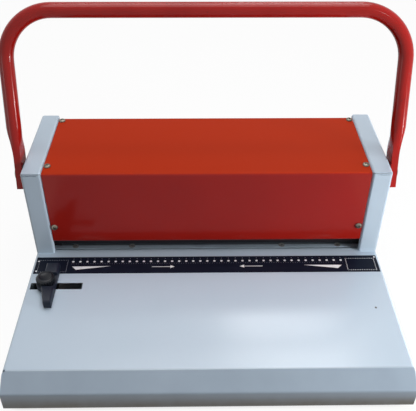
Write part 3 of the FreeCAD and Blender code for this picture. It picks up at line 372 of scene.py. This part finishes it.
WHITE = ((191, 207, 222), (186, 203, 218))
table_paint = powder_coat(
    "table_white_coat", *WHITE, 0.22, 0.2, 0.03, touch=table_marks_and_shade, wave=150.0
)
cap_paint = powder_coat("cap_white_coat", *WHITE, 0.32, 0.15, 0.05, touch=cap_marks)
RED = ((161, 28, 19), (153, 26, 17))
red_paint = powder_coat("red_housing_coat", *RED, 0.45, 0.0, 0.05, 0.06, cover_top_light)
tray_paint = powder_coat("tray_satin_black", (52, 53, 56), (44, 45, 48), 0.42, 0.05, 0.06)
print("coats:", [m.name for m in (table_paint, cap_paint, red_paint, tray_paint)])

# %% [markdown]
# ## Lever paint
# The lever is brushed with a gloss red over the tube, and hands have rubbed it: there are dark nicks
# and patches that have gone dull. A thresholded noise gives nicks; a broad one gives the patches.

# %% Lever paint
lever_gloss = Finish("lever_gloss_paint")
patches = lever_gloss.noise(26.0, 3.0).above(0.55, 0.15)
nicks = lever_gloss.noise(210.0, 3.0, rough=0.65).above(0.735, 0.012)
lever_tone = lever_gloss.mix(patches * 0.6, linear(168, 25, 19), linear(151, 21, 16))
lever_gloss.set(
    base_color=lever_gloss.mix(nicks, lever_tone, linear(58, 18, 18)),
    roughness=0.13 + patches * 0.06 + nicks * 0.2,
    specular=0.24,
)
lever_gloss.bumped(lever_gloss.noise(160.0, 2.0) - nicks * 0.6, 0.08, 0.0005)
lever_paint = lever_gloss.material
print("lever:", lever_paint.name, "nodes:", len(lever_gloss.tree.nodes))

# %% [markdown]
# ## Bare metal
# Ground plates show fine parallel scratches, turned steel is plainer and darker with oil, and the
# bushes are brass. A noise that is stretched along one axis gives the scratches. A plate that has
# gone dull scatters light as paint does, so its `sheen` is lower than 1.


# %% Bare metal
def ground_metal(name, colour, dark, base_rough, along, sheen=1.0, painted_shade_from=None):
    """Scratched, stained metal; from a line towards the back it can be painted dark as painted shade."""
    finish = Finish(name)
    colour, dark = linear(*colour), linear(*dark)
    scratches = finish.noise(1.0, 2.0, finish.stretched(*along), 0.7)
    stains = finish.noise(38.0, 4.0).above(0.58, 0.12)
    tone = finish.mix(stains * 0.5, finish.mix(scratches, colour, dark), dark)
    # Painted shade: behind the line the colour goes nearly black, for the shade deep in the mouth.
    if painted_shade_from:
        _, back, _ = finish.axes()
        tone = finish.mix(back.above(painted_shade_from, 0.0012) * 0.85, tone, linear(30, 32, 38))
    roughness = base_rough + scratches * 0.16 + stains * 0.10
    finish.set(base_color=tone, roughness=roughness, metallic=sheen)
    finish.bumped(scratches, 0.12, 0.0002)
    return finish.material


LENGTHWISE = (60, 2200, 2200)
UPWARD = (900, 900, 90)
EVEN = (700, 700, 700)
TURNED = (2000, 200, 200)
# Behind this line the die plate is painted dark: painted shade deep in the mouth.
DIE_SHADE_LINE = 0.0392
plate_steel = ground_metal(
    "ground_plate_steel", (168, 173, 180), (128, 133, 141), 0.30, LENGTHWISE
)
die_steel = ground_metal(
    "dull_die_steel", (188, 206, 220), (162, 180, 194), 0.46, LENGTHWISE, 0.15, DIE_SHADE_LINE
)
tool_steel = ground_metal("oiled_tool_steel", (126, 128, 132), (88, 90, 95), 0.28, UPWARD)
black_steel = ground_metal("blackened_steel", (46, 42, 48), (30, 28, 33), 0.44, LENGTHWISE, 0.6)
zinc_steel = ground_metal("zinc_screw_steel", (140, 135, 124), (96, 91, 82), 0.34, EVEN)
dull_zinc = ground_metal("dull_zinc_steel", (166, 168, 168), (124, 125, 124), 0.50, EVEN, 0.4)
spring_steel = ground_metal("spring_wire_steel", (140, 142, 147), (96, 98, 104), 0.30, UPWARD)
bush_brass = ground_metal("turned_brass", (196, 160, 92), (150, 116, 60), 0.28, TURNED)
print("metals:", [m.name for m in (plate_steel, die_steel, tool_steel, black_steel, zinc_steel)])

# %% [markdown]
# ## Moulded and flexible pieces
# The guide fence is a black moulding with a fine spark-eroded grain and ribs along its nose, the knob
# a harder gloss black, the feet are matt rubber and the scale is a satin printed film.


# %% Plastic, rubber and film
RIB_PITCH, RIBS_END = 0.0013, -0.0305


def moulded(name, colour, worn, base_rough, grain_scale, depth, specular=0.5, ribs=None):
    finish = Finish(name)
    colour, worn = linear(*colour), linear(*worn)
    pits = finish.noise(grain_scale, 2.0, rough=0.6)
    scuffs = finish.noise(70.0, 5.0, rough=0.7).above(0.60, 0.06)
    finish.set(
        base_color=finish.mix(scuffs * 0.5, colour, worn),
        roughness=base_rough + pits * 0.12 + scuffs * 0.08,
        specular=specular,
    )
    finish.bumped(pits + ribs(finish) if ribs else pits, depth, 0.0003)
    return finish.material


def nose_ribs(finish):
    """Fine ribs that run along the fence, in front of the knob only."""
    across, along, _ = finish.axes()
    waves = (across * (2 * math.pi / RIB_PITCH)).sine()
    return waves * (1 - along.above(RIBS_END, 0.0003)) * 1.5


guide_plastic = moulded(
    "moulded_black_fence", (17, 24, 38), (32, 40, 55), 0.42, 1500.0, 0.25, 0.3, nose_ribs
)
knob_plastic = moulded("moulded_black_knob", (11, 14, 21), (24, 28, 36), 0.34, 2200.0, 0.06, 0.3)
foot_rubber = moulded("foot_rubber", (30, 30, 31), (52, 51, 50), 0.72, 1800.0, 0.3)
scale_film = moulded("scale_black_film", (11, 18, 34), (19, 27, 44), 0.38, 2600.0, 0.03, 0.12)
print("mouldings:", [m.name for m in (guide_plastic, knob_plastic, foot_rubber, scale_film)])

# %% [markdown]
# ## Give every CAD node its finish
# The record names a material slot for each node, so one table from slot to finish dresses them all.
# The table sheet and the die plate have a finish of their own.

# %% Dress the CAD nodes
FINISH_OF_SLOT = {
    "white_paint": cap_paint,
    "red_paint": red_paint,
    "lever_paint": lever_paint,
    "scale_film": scale_film,
    "guide_plastic": guide_plastic,
    "knob_plastic": knob_plastic,
    "rubber": foot_rubber,
    "screw_steel": zinc_steel,
    "plate_steel": plate_steel,
    "tool_steel": tool_steel,
    "black_steel": black_steel,
    "spring_steel": spring_steel,
    "bush_brass": bush_brass,
    "tray_paint": tray_paint,
}
FINISH_OF_NODE = {"base_table": table_paint, "die_plate": die_steel}
for entry in frame["record"]["subparts"]:
    slots = nodes[entry["node"]].data.materials
    slots.clear()
    slots.append(FINISH_OF_NODE.get(entry["node"], FINISH_OF_SLOT[entry["material_slot"]]))

# %% [markdown]
# ## One shape on many places
# Screws, feet, knob ribs and printed dots are each one shape that is set down many times. Copies made
# in a Python loop would work, but a Geometry Nodes tree says it once: a cloud of points goes in, and
# the pattern is instanced on each, turned to face the point's own way. The result is made a plain
# mesh, because an export drops instances.


# %% The repeating tree
NAMED = "GeometryNodeInputNamedAttribute"
UP, BACK, FRONT, RIGHT, LEFT = (0, 0, 1), (0, 1, 0), (0, -1, 0), (1, 0, 0), (-1, 0, 0)


def new_tree(name, kinds, result):
    """The book of a new geometry tree, and a wire from each of its named inputs."""
    tree = bpy.data.node_groups.new(name, "GeometryNodeTree")
    for label, kind in kinds:
        tree.interface.new_socket(label, in_out="INPUT", socket_type=f"NodeSocket{kind}")
    tree.interface.new_socket(result, in_out="OUTPUT", socket_type="NodeSocketGeometry")
    book = NodeBook(tree)
    given = book.make("NodeGroupInput", {}, {}).socket.node
    return book, [Wire(book, given.outputs[label]) for label, _ in kinds]


def end_tree(book, copies, finish, result):
    """The finished tree: its copies are made real, painted and sent out."""
    solid = book.make("GeometryNodeRealizeInstances", {}, {"Geometry": copies})
    painted = book.make("GeometryNodeSetMaterial", {}, {"Geometry": solid, "Material": finish})
    book.make("NodeGroupOutput", {}, {result: painted})
    return book.tree


def repeat_tree():
    kinds = [("Points", "Geometry"), ("Pattern", "Object"), ("Size", "Float")]
    kinds += [("Finish", "Material")]
    book, (points, pattern, size, finish) = new_tree("repeat_on_points", kinds, "Pieces")
    facing = book.make(NAMED, {"data_type": "FLOAT_VECTOR"}, {"Name": "facing"})
    turn = book.make(NAMED, {"data_type": "FLOAT"}, {"Name": "turn"})
    upright = book.make("FunctionNodeAlignRotationToVector", {"axis": "Z"}, {"Vector": facing})
    about = book.make("FunctionNodeAxisAngleToRotation", {}, {"Axis": UP, "Angle": turn})
    local = {"rotation_space": "LOCAL"}
    ways = {"Rotation": upright, "Rotate By": about}
    turned_way = book.make("FunctionNodeRotateRotation", local, ways)
    shape = book.make("GeometryNodeObjectInfo", {}, {"Object": pattern}, "Geometry")
    spread = {"Points": points, "Instance": shape, "Rotation": turned_way, "Scale": size}
    copies = book.make("GeometryNodeInstanceOnPoints", {}, spread)
    return end_tree(book, copies, finish, "Pieces")


REPEAT = repeat_tree()


def piece_from(name, mesh):
    piece = bpy.data.objects.new(name, mesh)
    scene.collection.objects.link(piece)
    return piece


def baked(carrier):
    """The mesh of an object with its modifiers applied; the object itself is removed."""
    graph = bpy.context.evaluated_depsgraph_get()
    mesh = bpy.data.meshes.new_from_object(carrier.evaluated_get(graph), depsgraph=graph)
    bpy.data.objects.remove(carrier)
    return mesh


def grown(name, cloud, tree, **values):
    """The plain mesh that a tree makes from a cloud of points and its named inputs."""
    carrier = piece_from(name + "_points", cloud)
    modifier = carrier.modifiers.new("tree", "NODES")
    modifier.node_group = tree
    inputs = {i.name: i.identifier for i in tree.interface.items_tree if i.in_out == "INPUT"}
    for key, value in values.items():
        modifier[inputs[key]] = value
    mesh = baked(carrier)
    mesh.materials.clear()
    mesh.materials.append(values["Finish"])
    mesh.polygons.foreach_set("material_index", [0] * len(mesh.polygons))
    return piece_from(name, mesh)


def repeated(name, pattern, spots, finish, size=1.0):
    """A plain mesh of the pattern on each spot: a place, the way it faces and a turn about it."""
    cloud = bpy.data.meshes.new(name + "_points")
    cloud.from_pydata([place for place, _, _ in spots], [], [])
    facing = cloud.attributes.new("facing", "FLOAT_VECTOR", "POINT")
    facing.data.foreach_set("vector", [value for _, way, _ in spots for value in way])
    turn = cloud.attributes.new("turn", "FLOAT", "POINT")
    turn.data.foreach_set("value", [angle for _, _, angle in spots])
    return grown(name, cloud, REPEAT, Pattern=pattern, Size=size, Finish=finish)


print("tree:", REPEAT.name, "nodes:", len(REPEAT.nodes))

# %% [markdown]
# ## Turned shapes and recesses
# Screw heads, feet and the knob are turned: a half profile goes round an axis. Blender has a Screw
# modifier for that, but rings made by hand keep the poles closed. A recess is a tapered prism that
# is cut out with a Boolean, which costs little on a shape this small.


# %% Turned shapes
def shaded(mesh, angle=32.0):
    """Smooth shading that stays crisp over edges sharper than the angle."""
    mesh.shade_smooth()
    mesh.set_sharp_from_angle(angle=math.radians(angle))
    return mesh


def shape_of(*meshes):
    """One bmesh with a copy of each mesh in it."""
    shape = bmesh.new()
    for mesh in meshes:
        shape.from_mesh(mesh)
    return shape


def refill(mesh, shape):
    """The mesh, which now holds the bmesh's shape; the bmesh is used up."""
    shape.to_mesh(mesh)
    shape.free()
    return mesh


def shell_from(name, rings):
    """A closed mesh from rings of points; a ring of one point is a pole."""
    shape = bmesh.new()
    rows = [[shape.verts.new(Vector(point) * MM) for point in ring] for ring in rings]
    for lower, upper in zip(rows, rows[1:]):
        count = max(len(lower), len(upper))
        for i in range(count):
            corners = [lower[i % len(lower)], lower[(i + 1) % len(lower)]]
            corners += [upper[(i + 1) % len(upper)], upper[i % len(upper)]]
            shape.faces.new(list(dict.fromkeys(corners)))
    for row in (rows[0], rows[-1]):
        if len(row) > 1:
            shape.faces.new(row)
    bmesh.ops.recalc_face_normals(shape, faces=shape.faces)
    return refill(bpy.data.meshes.new(name), shape)


def circle(radius, height, sides, middle=(0.0, 0.0)):
    if radius == 0:
        return [(*middle, height)]
    x, y = middle
    steps = [2 * math.pi * i / sides for i in range(sides)]
    return [(x + radius * math.cos(a), y + radius * math.sin(a), height) for a in steps]


def turned(name, profile, sides, middle=(0.0, 0.0)):
    """A solid of revolution, in millimetres, from a profile of radius and height."""
    return shell_from(name, [circle(radius, height, sides, middle) for radius, height in profile])


def carved(name, head, tool):
    """The head with the tool's shape cut out of it."""
    carrier, cutter = piece_from(name + "_blank", head), piece_from(name + "_tool", tool)
    modifier = carrier.modifiers.new("recess", "BOOLEAN")
    modifier.object, modifier.operation, modifier.solver = cutter, "DIFFERENCE", "EXACT"
    mesh = baked(carrier)
    bpy.data.objects.remove(cutter)
    return piece_from(name, shaded(mesh))


def prism(name, plan, low, high, taper):
    """A prism on a plan, with its low end drawn in by a taper."""
    low_end = [(x * taper, y * taper, low) for x, y in plan]
    return shell_from(name, [low_end, [(x, y, high) for x, y in plan]])


def recessed(name, profile, sides, tool):
    """A turned screw head with a recess for a tool."""
    return carved(name, turned(name, profile, sides), tool)


CROSS = [(2.1, 0.42), (0.42, 0.42), (0.42, 2.1), (-0.42, 2.1), (-0.42, 0.42), (-2.1, 0.42)]
CROSS += [(-x, -y) for x, y in CROSS]
HEX = [(x, y) for x, y, _ in circle(3.1, 0, 6)]
SMALL_HEX = [(x, y) for x, y, _ in circle(1.75, 0, 6)]
pan_profile = [(0, 0), (3.15, 0), (3.3, 0.2), (3.28, 0.7), (2.95, 1.35)]
pan_profile += [(2.3, 1.85), (1.3, 2.13), (0, 2.2)]
button_profile = [(6.8, 0), (7.0, 0.3), (6.8, 0.9), (6.0, 1.6), (4.8, 2.05), (4.2, 2.2)]
flat_profile = [(1.7, -2.2), (3.2, -0.1), (3.28, 0.02), (3.12, 0.08)]
cross_tool = prism("cross_tool", CROSS, 0.7, 2.5, 0.55)
hex_tool = prism("hex_tool", HEX, 0.8, 2.5, 0.97)
small_hex_tool = prism("small_hex_tool", SMALL_HEX, -1.5, 0.5, 0.97)
pan_head = recessed("pan_head", pan_profile, 28, cross_tool)
button_head = recessed("button_head", button_profile, 40, hex_tool)
flat_head = recessed("flat_head", flat_profile, 28, small_hex_tool)
print("head faces:", [len(head.data.polygons) for head in (pan_head, button_head, flat_head)])

# %% [markdown]
# ## Screws
# Cover, rear panel and end caps are held by pan heads with a cross recess, the lever by two button
# heads with a hexagon socket, and the die plate by flat heads sunk level with it. Each stands where the
# CAD screw is, faces out of its sheet, and is turned a little differently from its neighbour, as a
# hand would leave it.


# %% Screws
def spots_on(places, way):
    """Spots in metres from places in millimetres, each with its own turn."""
    return [(Vector(place) * MM, way, 0.7 * i + sum(place)) for i, place in enumerate(places)]


def both_sides(across, *rest):
    return [(side * across, y, z) for side in (-1, 1) for y, z in rest]


COVER_SIDE, CAP_SIDE = 151.8, 175
CAP_LINE = [(87.5, 50.8), (122.5, 50.8)]
SCREW_SPOTS = {
    "cover_screws": spots_on(both_sides(COVER_SIDE, (41.5, 132.8), (126.5, 132.8)), UP)
    + spots_on(both_sides(COVER_SIDE, (28.5, 68.8)), FRONT),
    "rear_panel_screws": spots_on(both_sides(COVER_SIDE, (133.0, 123.8), (131.8, 54.8)), BACK),
    "cap_screws": spots_on([(CAP_SIDE, *spot) for spot in CAP_LINE], RIGHT)
    + spots_on([(-CAP_SIDE, *spot) for spot in CAP_LINE], LEFT),
}
for node, spots in SCREW_SPOTS.items():
    screws = repeated(node + "_heads", pan_head, spots, zinc_steel)
    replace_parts(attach(screws, "chassis"), node)
    print(node, len(spots), "heads,", len(screws.data.polygons), "faces")

SHAFT_PLACE, LEVER_THICKNESS = (51.96858, 118.3), 6.5
spacer_face = max(v.co.x for v in nodes["lever_spacers"].data.vertices) / MM
lever_face = spacer_face + LEVER_THICKNESS
lever_spots = spots_on([(lever_face, *SHAFT_PLACE)], RIGHT)
lever_spots += spots_on([(-lever_face, *SHAFT_PLACE)], LEFT)
lever_heads = repeated("lever_screw_heads", button_head, lever_spots, zinc_steel)
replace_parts(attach(lever_heads, "drive"), "lever_screws")
print("lever screws at x", round(lever_face, 2), "mm")

DIE_LINE, DIE_INNER, DIE_OUTER = (38.2, 34.8), 78.0, 136.5
die_spots = spots_on(both_sides(DIE_INNER, DIE_LINE) + both_sides(DIE_OUTER, DIE_LINE), UP)
die_heads = repeated("die_screw_heads", flat_head, die_spots, dull_zinc)
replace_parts(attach(die_heads, "chassis"), "die_screws")
print("die screws:", len(die_spots))

# %% [markdown]
# ## Feet
# Four rubber feet are stuck under the corners. Their rims are rounded where the floor has worn them.

# %% Feet
foot_profile = [(0, 0), (7.4, 0), (7.9, 0.25), (8.15, 0.8), (8.95, 5.6), (9.0, 6.0), (0, 6.0)]
foot = piece_from("foot", shaded(turned("foot", foot_profile, 36)))
foot_spots = spots_on(both_sides(163.0, (-124.5, 0), (124.5, 0)), UP)
feet = repeated("round_feet", foot, foot_spots, foot_rubber)
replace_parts(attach(feet, "chassis"), "rubber_feet")
print("feet:", len(foot_spots), "faces:", len(feet.data.polygons))

# %% [markdown]
# ## Return springs
# Two coil springs inside the housing lift the punch bar after a stroke. A round wire follows a helix
# whose first and last turns lie close, as on a ground spring: a Spiral curve gives the helix, and its
# height is dealt out again along its length. The bar presses the springs together.


# %% Return springs
def coil_tree(turns):
    kinds = [("Points", "Geometry"), ("Radius", "Float"), ("Wire", "Float"), ("Height", "Float")]
    kinds += [("Finish", "Material")]
    book, wires = new_tree("coil_on_points", kinds, "Springs")
    points, radius, wire, height, finish = wires
    spiral = {"Resolution": 24, "Rotations": turns, "Start Radius": radius, "End Radius": radius}
    helix = book.make("GeometryNodeCurveSpiral", {}, {**spiral, "Height": height})
    share = book.make("GeometryNodeSplineParameter", {}, {}, "Factor")
    closed = 1.0 / turns
    runs = ((0.0, closed), (closed, 1.0 - closed), (1.0 - closed, 1.0))
    first, middle, last = [
        book.make("ShaderNodeMapRange", {}, {0: share, 1: start, 2: end}) for start, end in runs
    ]
    level = (first + last) * wire + middle * (height - wire * 2.0)
    here = book.make("GeometryNodeInputPosition", {}, {})
    plan = book.make("ShaderNodeSeparateXYZ", {}, {0: here}).socket.node
    across, along = [Wire(book, socket) for socket in plan.outputs[:2]]
    place = book.make("ShaderNodeCombineXYZ", {}, {0: across, 1: along, 2: level})
    path = book.make("GeometryNodeSetPosition", {}, {"Geometry": helix, "Position": place})
    ring = {"Resolution": 10, "Radius": wire * 0.5}
    section = book.make("GeometryNodeCurvePrimitiveCircle", {}, ring)
    sweep = {"Curve": path, "Profile Curve": section, "Fill Caps": True}
    coil = book.make("GeometryNodeCurveToMesh", {}, sweep)
    copies = book.make("GeometryNodeInstanceOnPoints", {}, {"Points": points, "Instance": coil})
    return end_tree(book, copies, finish, "Springs")


SPRING_LOW, SPRING_HIGH = (corner[2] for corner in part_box("return_springs"))
POST_SPOTS = both_sides(120.0, (73.4685, 0.0))
SPRING_RADIUS, SPRING_TURNS = 6.6 * MM, 6
spring_wire = 1.8 * MM
first_turn = SPRING_LOW + spring_wire / 2
post_cloud = bpy.data.meshes.new("post_points")
post_cloud.from_pydata([(x * MM, y * MM, first_turn) for x, y, _ in POST_SPOTS], [], [])
springs = grown(
    "coil_springs",
    post_cloud,
    coil_tree(SPRING_TURNS),
    Radius=SPRING_RADIUS,
    Wire=spring_wire,
    Height=SPRING_HIGH - SPRING_LOW - spring_wire,
    Finish=spring_steel,
)
springs.data.shade_smooth()
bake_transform(springs)
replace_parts(springs, "return_springs")
print("springs:", len(POST_SPOTS), "faces:", len(springs.data.polygons))

# %% [markdown]
# ## Clamp knob
# The edge guide is held by a small round knob with a ribbed grip and a dished top. The ribs are one
# rounded bar on a ring of points; the turned body is joined to them.

# %% Clamp knob
knob_middle = (-155.5, -20.0)
KNOB_RADIUS, RIB_HEIGHT, RIB_COUNT = 8.3, 44.1, 24
knob_profile = [(0, 40.3), (7.3, 40.3), (8.1, 40.8), (KNOB_RADIUS, 41.5), (KNOB_RADIUS, 46.5)]
knob_profile += [(7.9, 47.5), (7.1, 48.1), (6.4, 48.3), (5.6, 48.2), (5.0, 47.7), (4.2, 47.3)]
knob_profile += [(0, 47.2)]
rib_profile = [(0, -2.9), (0.45, -2.75), (0.7, -2.3), (0.7, 2.3), (0.45, 2.75), (0, 2.9)]
rib = piece_from("knob_rib", shaded(turned("knob_rib", rib_profile, 8)))
rib_circle = circle(KNOB_RADIUS, RIB_HEIGHT, RIB_COUNT, knob_middle)
rib_ring = [Vector(point) * MM for point in rib_circle]
knob = repeated("ribbed_knob", rib, [(place, UP, 0.0) for place in rib_ring], knob_plastic)
body = shaded(turned("knob_body", knob_profile, 40, knob_middle))
refill(knob.data, shape_of(knob.data, body))
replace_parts(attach(knob, "guide_knob"), "clamp_knob")
print("knob ribs:", len(rib_ring), "faces:", len(knob.data.polygons))

# %% [markdown]
# ## Edge guide
# The fence has the CAD shape, with the soft edges of a moulding. The CAD mesh is loose triangles, so a
# copy is merged and its flat faces joined before a Bevel modifier rounds the sharp edges.

# %% Edge guide
MERGE, SLIVER, ROUNDING = 2e-5, 2e-6, 0.0005
plain_shape = shape_of(nodes["guide_fence"].data)
bmesh.ops.remove_doubles(plain_shape, verts=plain_shape.verts, dist=MERGE)
flat = {"verts": plain_shape.verts, "edges": plain_shape.edges}
bmesh.ops.dissolve_limit(plain_shape, angle_limit=math.radians(2), **flat)
plain_mesh = refill(bpy.data.meshes.new("soft_fence"), plain_shape)
plain_mesh.materials.clear()
plain_mesh.materials.append(guide_plastic)
fence_blank = piece_from("fence_blank", plain_mesh)
rounding = fence_blank.modifiers.new("rounding", "BEVEL")
rounding.width, rounding.segments, rounding.limit_method = ROUNDING, 2, "ANGLE"
rounding.angle_limit = math.radians(35)
fence_mesh = baked(fence_blank)
fence_shape = shape_of(fence_mesh)
bmesh.ops.dissolve_degenerate(fence_shape, dist=SLIVER, edges=fence_shape.edges)
bmesh.ops.triangulate(fence_shape, faces=fence_shape.faces)
bmesh.ops.dissolve_degenerate(fence_shape, dist=SLIVER, edges=fence_shape.edges)
refill(fence_mesh, fence_shape)
fence = piece_from("soft_fence", shaded(fence_mesh, 40.0))
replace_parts(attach(fence, "edge_guide"), "guide_fence")
print("fence faces:", len(fence.data.polygons))

# %% [markdown]
# ## Marks on the scale
# The black film is printed in white: a row of dots for the holes, a dotted frame at each end, arrows
# and long wedges that point to the paper's middle. Marks could be painted in the film's material, but
# they are crisp shapes in known places, so each is a very thin flat piece that sits on the film.

# %% Printed marks
FILM_TOP = 35.2
INK_SUNK, INK_RAISED = 0.03, 0.04
INK_LOW, INK_HIGH = FILM_TOP - INK_SUNK, FILM_TOP + INK_RAISED


def ink(name, colour, faded):
    """Screen print: slightly uneven, and worn thin in places."""
    finish = Finish(name)
    worn = finish.noise(240.0, 4.0, rough=0.7).above(0.62, 0.08)
    tone = finish.mix(worn * 0.5, linear(*colour), linear(*faded))
    finish.set(base_color=tone, roughness=0.45 + finish.noise(900.0) * 0.15)
    finish.bumped(finish.noise(1500.0, 2.0), 0.05, 0.0002)
    return finish.material


white_ink = ink("white_print", (240, 243, 246), (176, 180, 186))
grey_ink = ink("thin_print", (128, 132, 142), (80, 84, 94))
dot_profile = [(0, -INK_SUNK), (1, -INK_SUNK), (1, INK_RAISED), (0, INK_RAISED)]
dash_plan = [(0.5, 1), (-0.5, 1), (-0.5, -1), (0.5, -1)]
dot = piece_from("dot", turned("dot", dot_profile, 12))
dash = piece_from("dash", prism("dash", dash_plan, -INK_SUNK, INK_RAISED, 1.0))


def flat_spots(places):
    return [((x * MM, y * MM, FILM_TOP * MM), UP, 0.0) for x, y in places]


def printed(name, pattern, places, finish, size):
    """Marks keep their thin height while the size changes their plan."""
    marks = repeated(name, pattern, flat_spots(places), finish, size)
    for vertex in marks.data.vertices:
        vertex.co.z = (INK_HIGH if vertex.co.z > FILM_TOP * MM else INK_LOW) * MM
    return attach(marks, "chassis")


HOLE_START, HOLE_PITCH, HOLE_COUNT = -135.3, 7.13, 39
LINE_START, LINE_PITCH, LINE_COUNT = -136.5, 2.4, 115
hole_row = [HOLE_START + HOLE_PITCH * i for i in range(HOLE_COUNT)]
line_row = [LINE_START + LINE_PITCH * i for i in range(LINE_COUNT)]
print("hole dots:", len(hole_row), "to", round(hole_row[-1], 1), "mm")
printed("hole_dots", dot, [(x, 14.0) for x in hole_row], white_ink, 1.25)
printed("hole_ticks", dash, [(x, 18.0) for x in hole_row], grey_ink, 0.55)
printed("dotted_line", dot, [(x, 10.9) for x in line_row], grey_ink, 0.28)


def dotted_frame(left, right, low, high, pitch):
    """Places round a rectangle, a pitch apart."""
    wide, tall = round((right - left) / pitch), round((high - low) / pitch)
    across = [left + (right - left) * i / wide for i in range(wide + 1)]
    up = [low + (high - low) * i / tall for i in range(1, tall)]
    rows = [(x, y) for x in across for y in (low, high)]
    return rows + [(x, y) for y in up for x in (left, right)]


frame_marks = dotted_frame(140.6, 169.2, -0.4, 16.3, 1.75)
printed("frame_dots", dot, frame_marks, white_ink, 0.4)
printed("faint_frame_dots", dot, [(-x, y) for x, y in frame_marks], grey_ink, 0.4)
printed("corner_dots", dot, [(-170, 14.9), (-170, 0.6), (170.5, 18.2)], white_ink, 0.95)
print("frame dots:", 2 * len(frame_marks))

# %% [markdown]
# ## Arrows and wedges
# Each is a flat outline given the print's thickness. The right-hand ones mirror the left-hand ones, so
# one function makes a pair and the outlines are written once.


# %% Arrows and wedges
def mirrored_print(name, outline):
    """A flat mark and its mirror image, from an outline in millimetres."""
    shape = bmesh.new()
    for side in (1, -1):
        plan = [(side * x, y) for x, y in outline][::side]
        low = [shape.verts.new(Vector((x, y, INK_LOW)) * MM) for x, y in plan]
        high = [shape.verts.new(Vector((x, y, INK_HIGH)) * MM) for x, y in plan]
        shape.faces.new(high)
        shape.faces.new(low[::-1])
        for i in range(len(plan)):
            j = (i + 1) % len(plan)
            shape.faces.new((low[i], low[j], high[j], high[i]))
    bmesh.ops.recalc_face_normals(shape, faces=shape.faces)
    mesh = refill(bpy.data.meshes.new(name), shape)
    mesh.materials.append(white_ink)
    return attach(piece_from(name, mesh), "chassis")


WEDGE = [(-135.5, 7.0), (-131.0, 2.2), (-97.0, 7.3)]
ARROW = [(-55.5, 5.6), (-37.0, 5.6), (-37.0, 3.8), (-32.6, 6.0), (-37.0, 8.2), (-37.0, 6.4)]
ARROW += [(-55.5, 6.4)]
wedges = mirrored_print("paper_wedges", WEDGE)
arrows = mirrored_print("middle_arrows", ARROW)
print("wedge faces:", len(wedges.data.polygons), "arrow faces:", len(arrows.data.polygons))

# %% [markdown]
# ## Put the patterns away
# The pattern objects have done their work. The visual model has to stay in the CAD box.

# %% Put the patterns away
for pattern in (pan_head, button_head, flat_head, foot, rib, dot, dash):
    bpy.data.objects.remove(pattern)
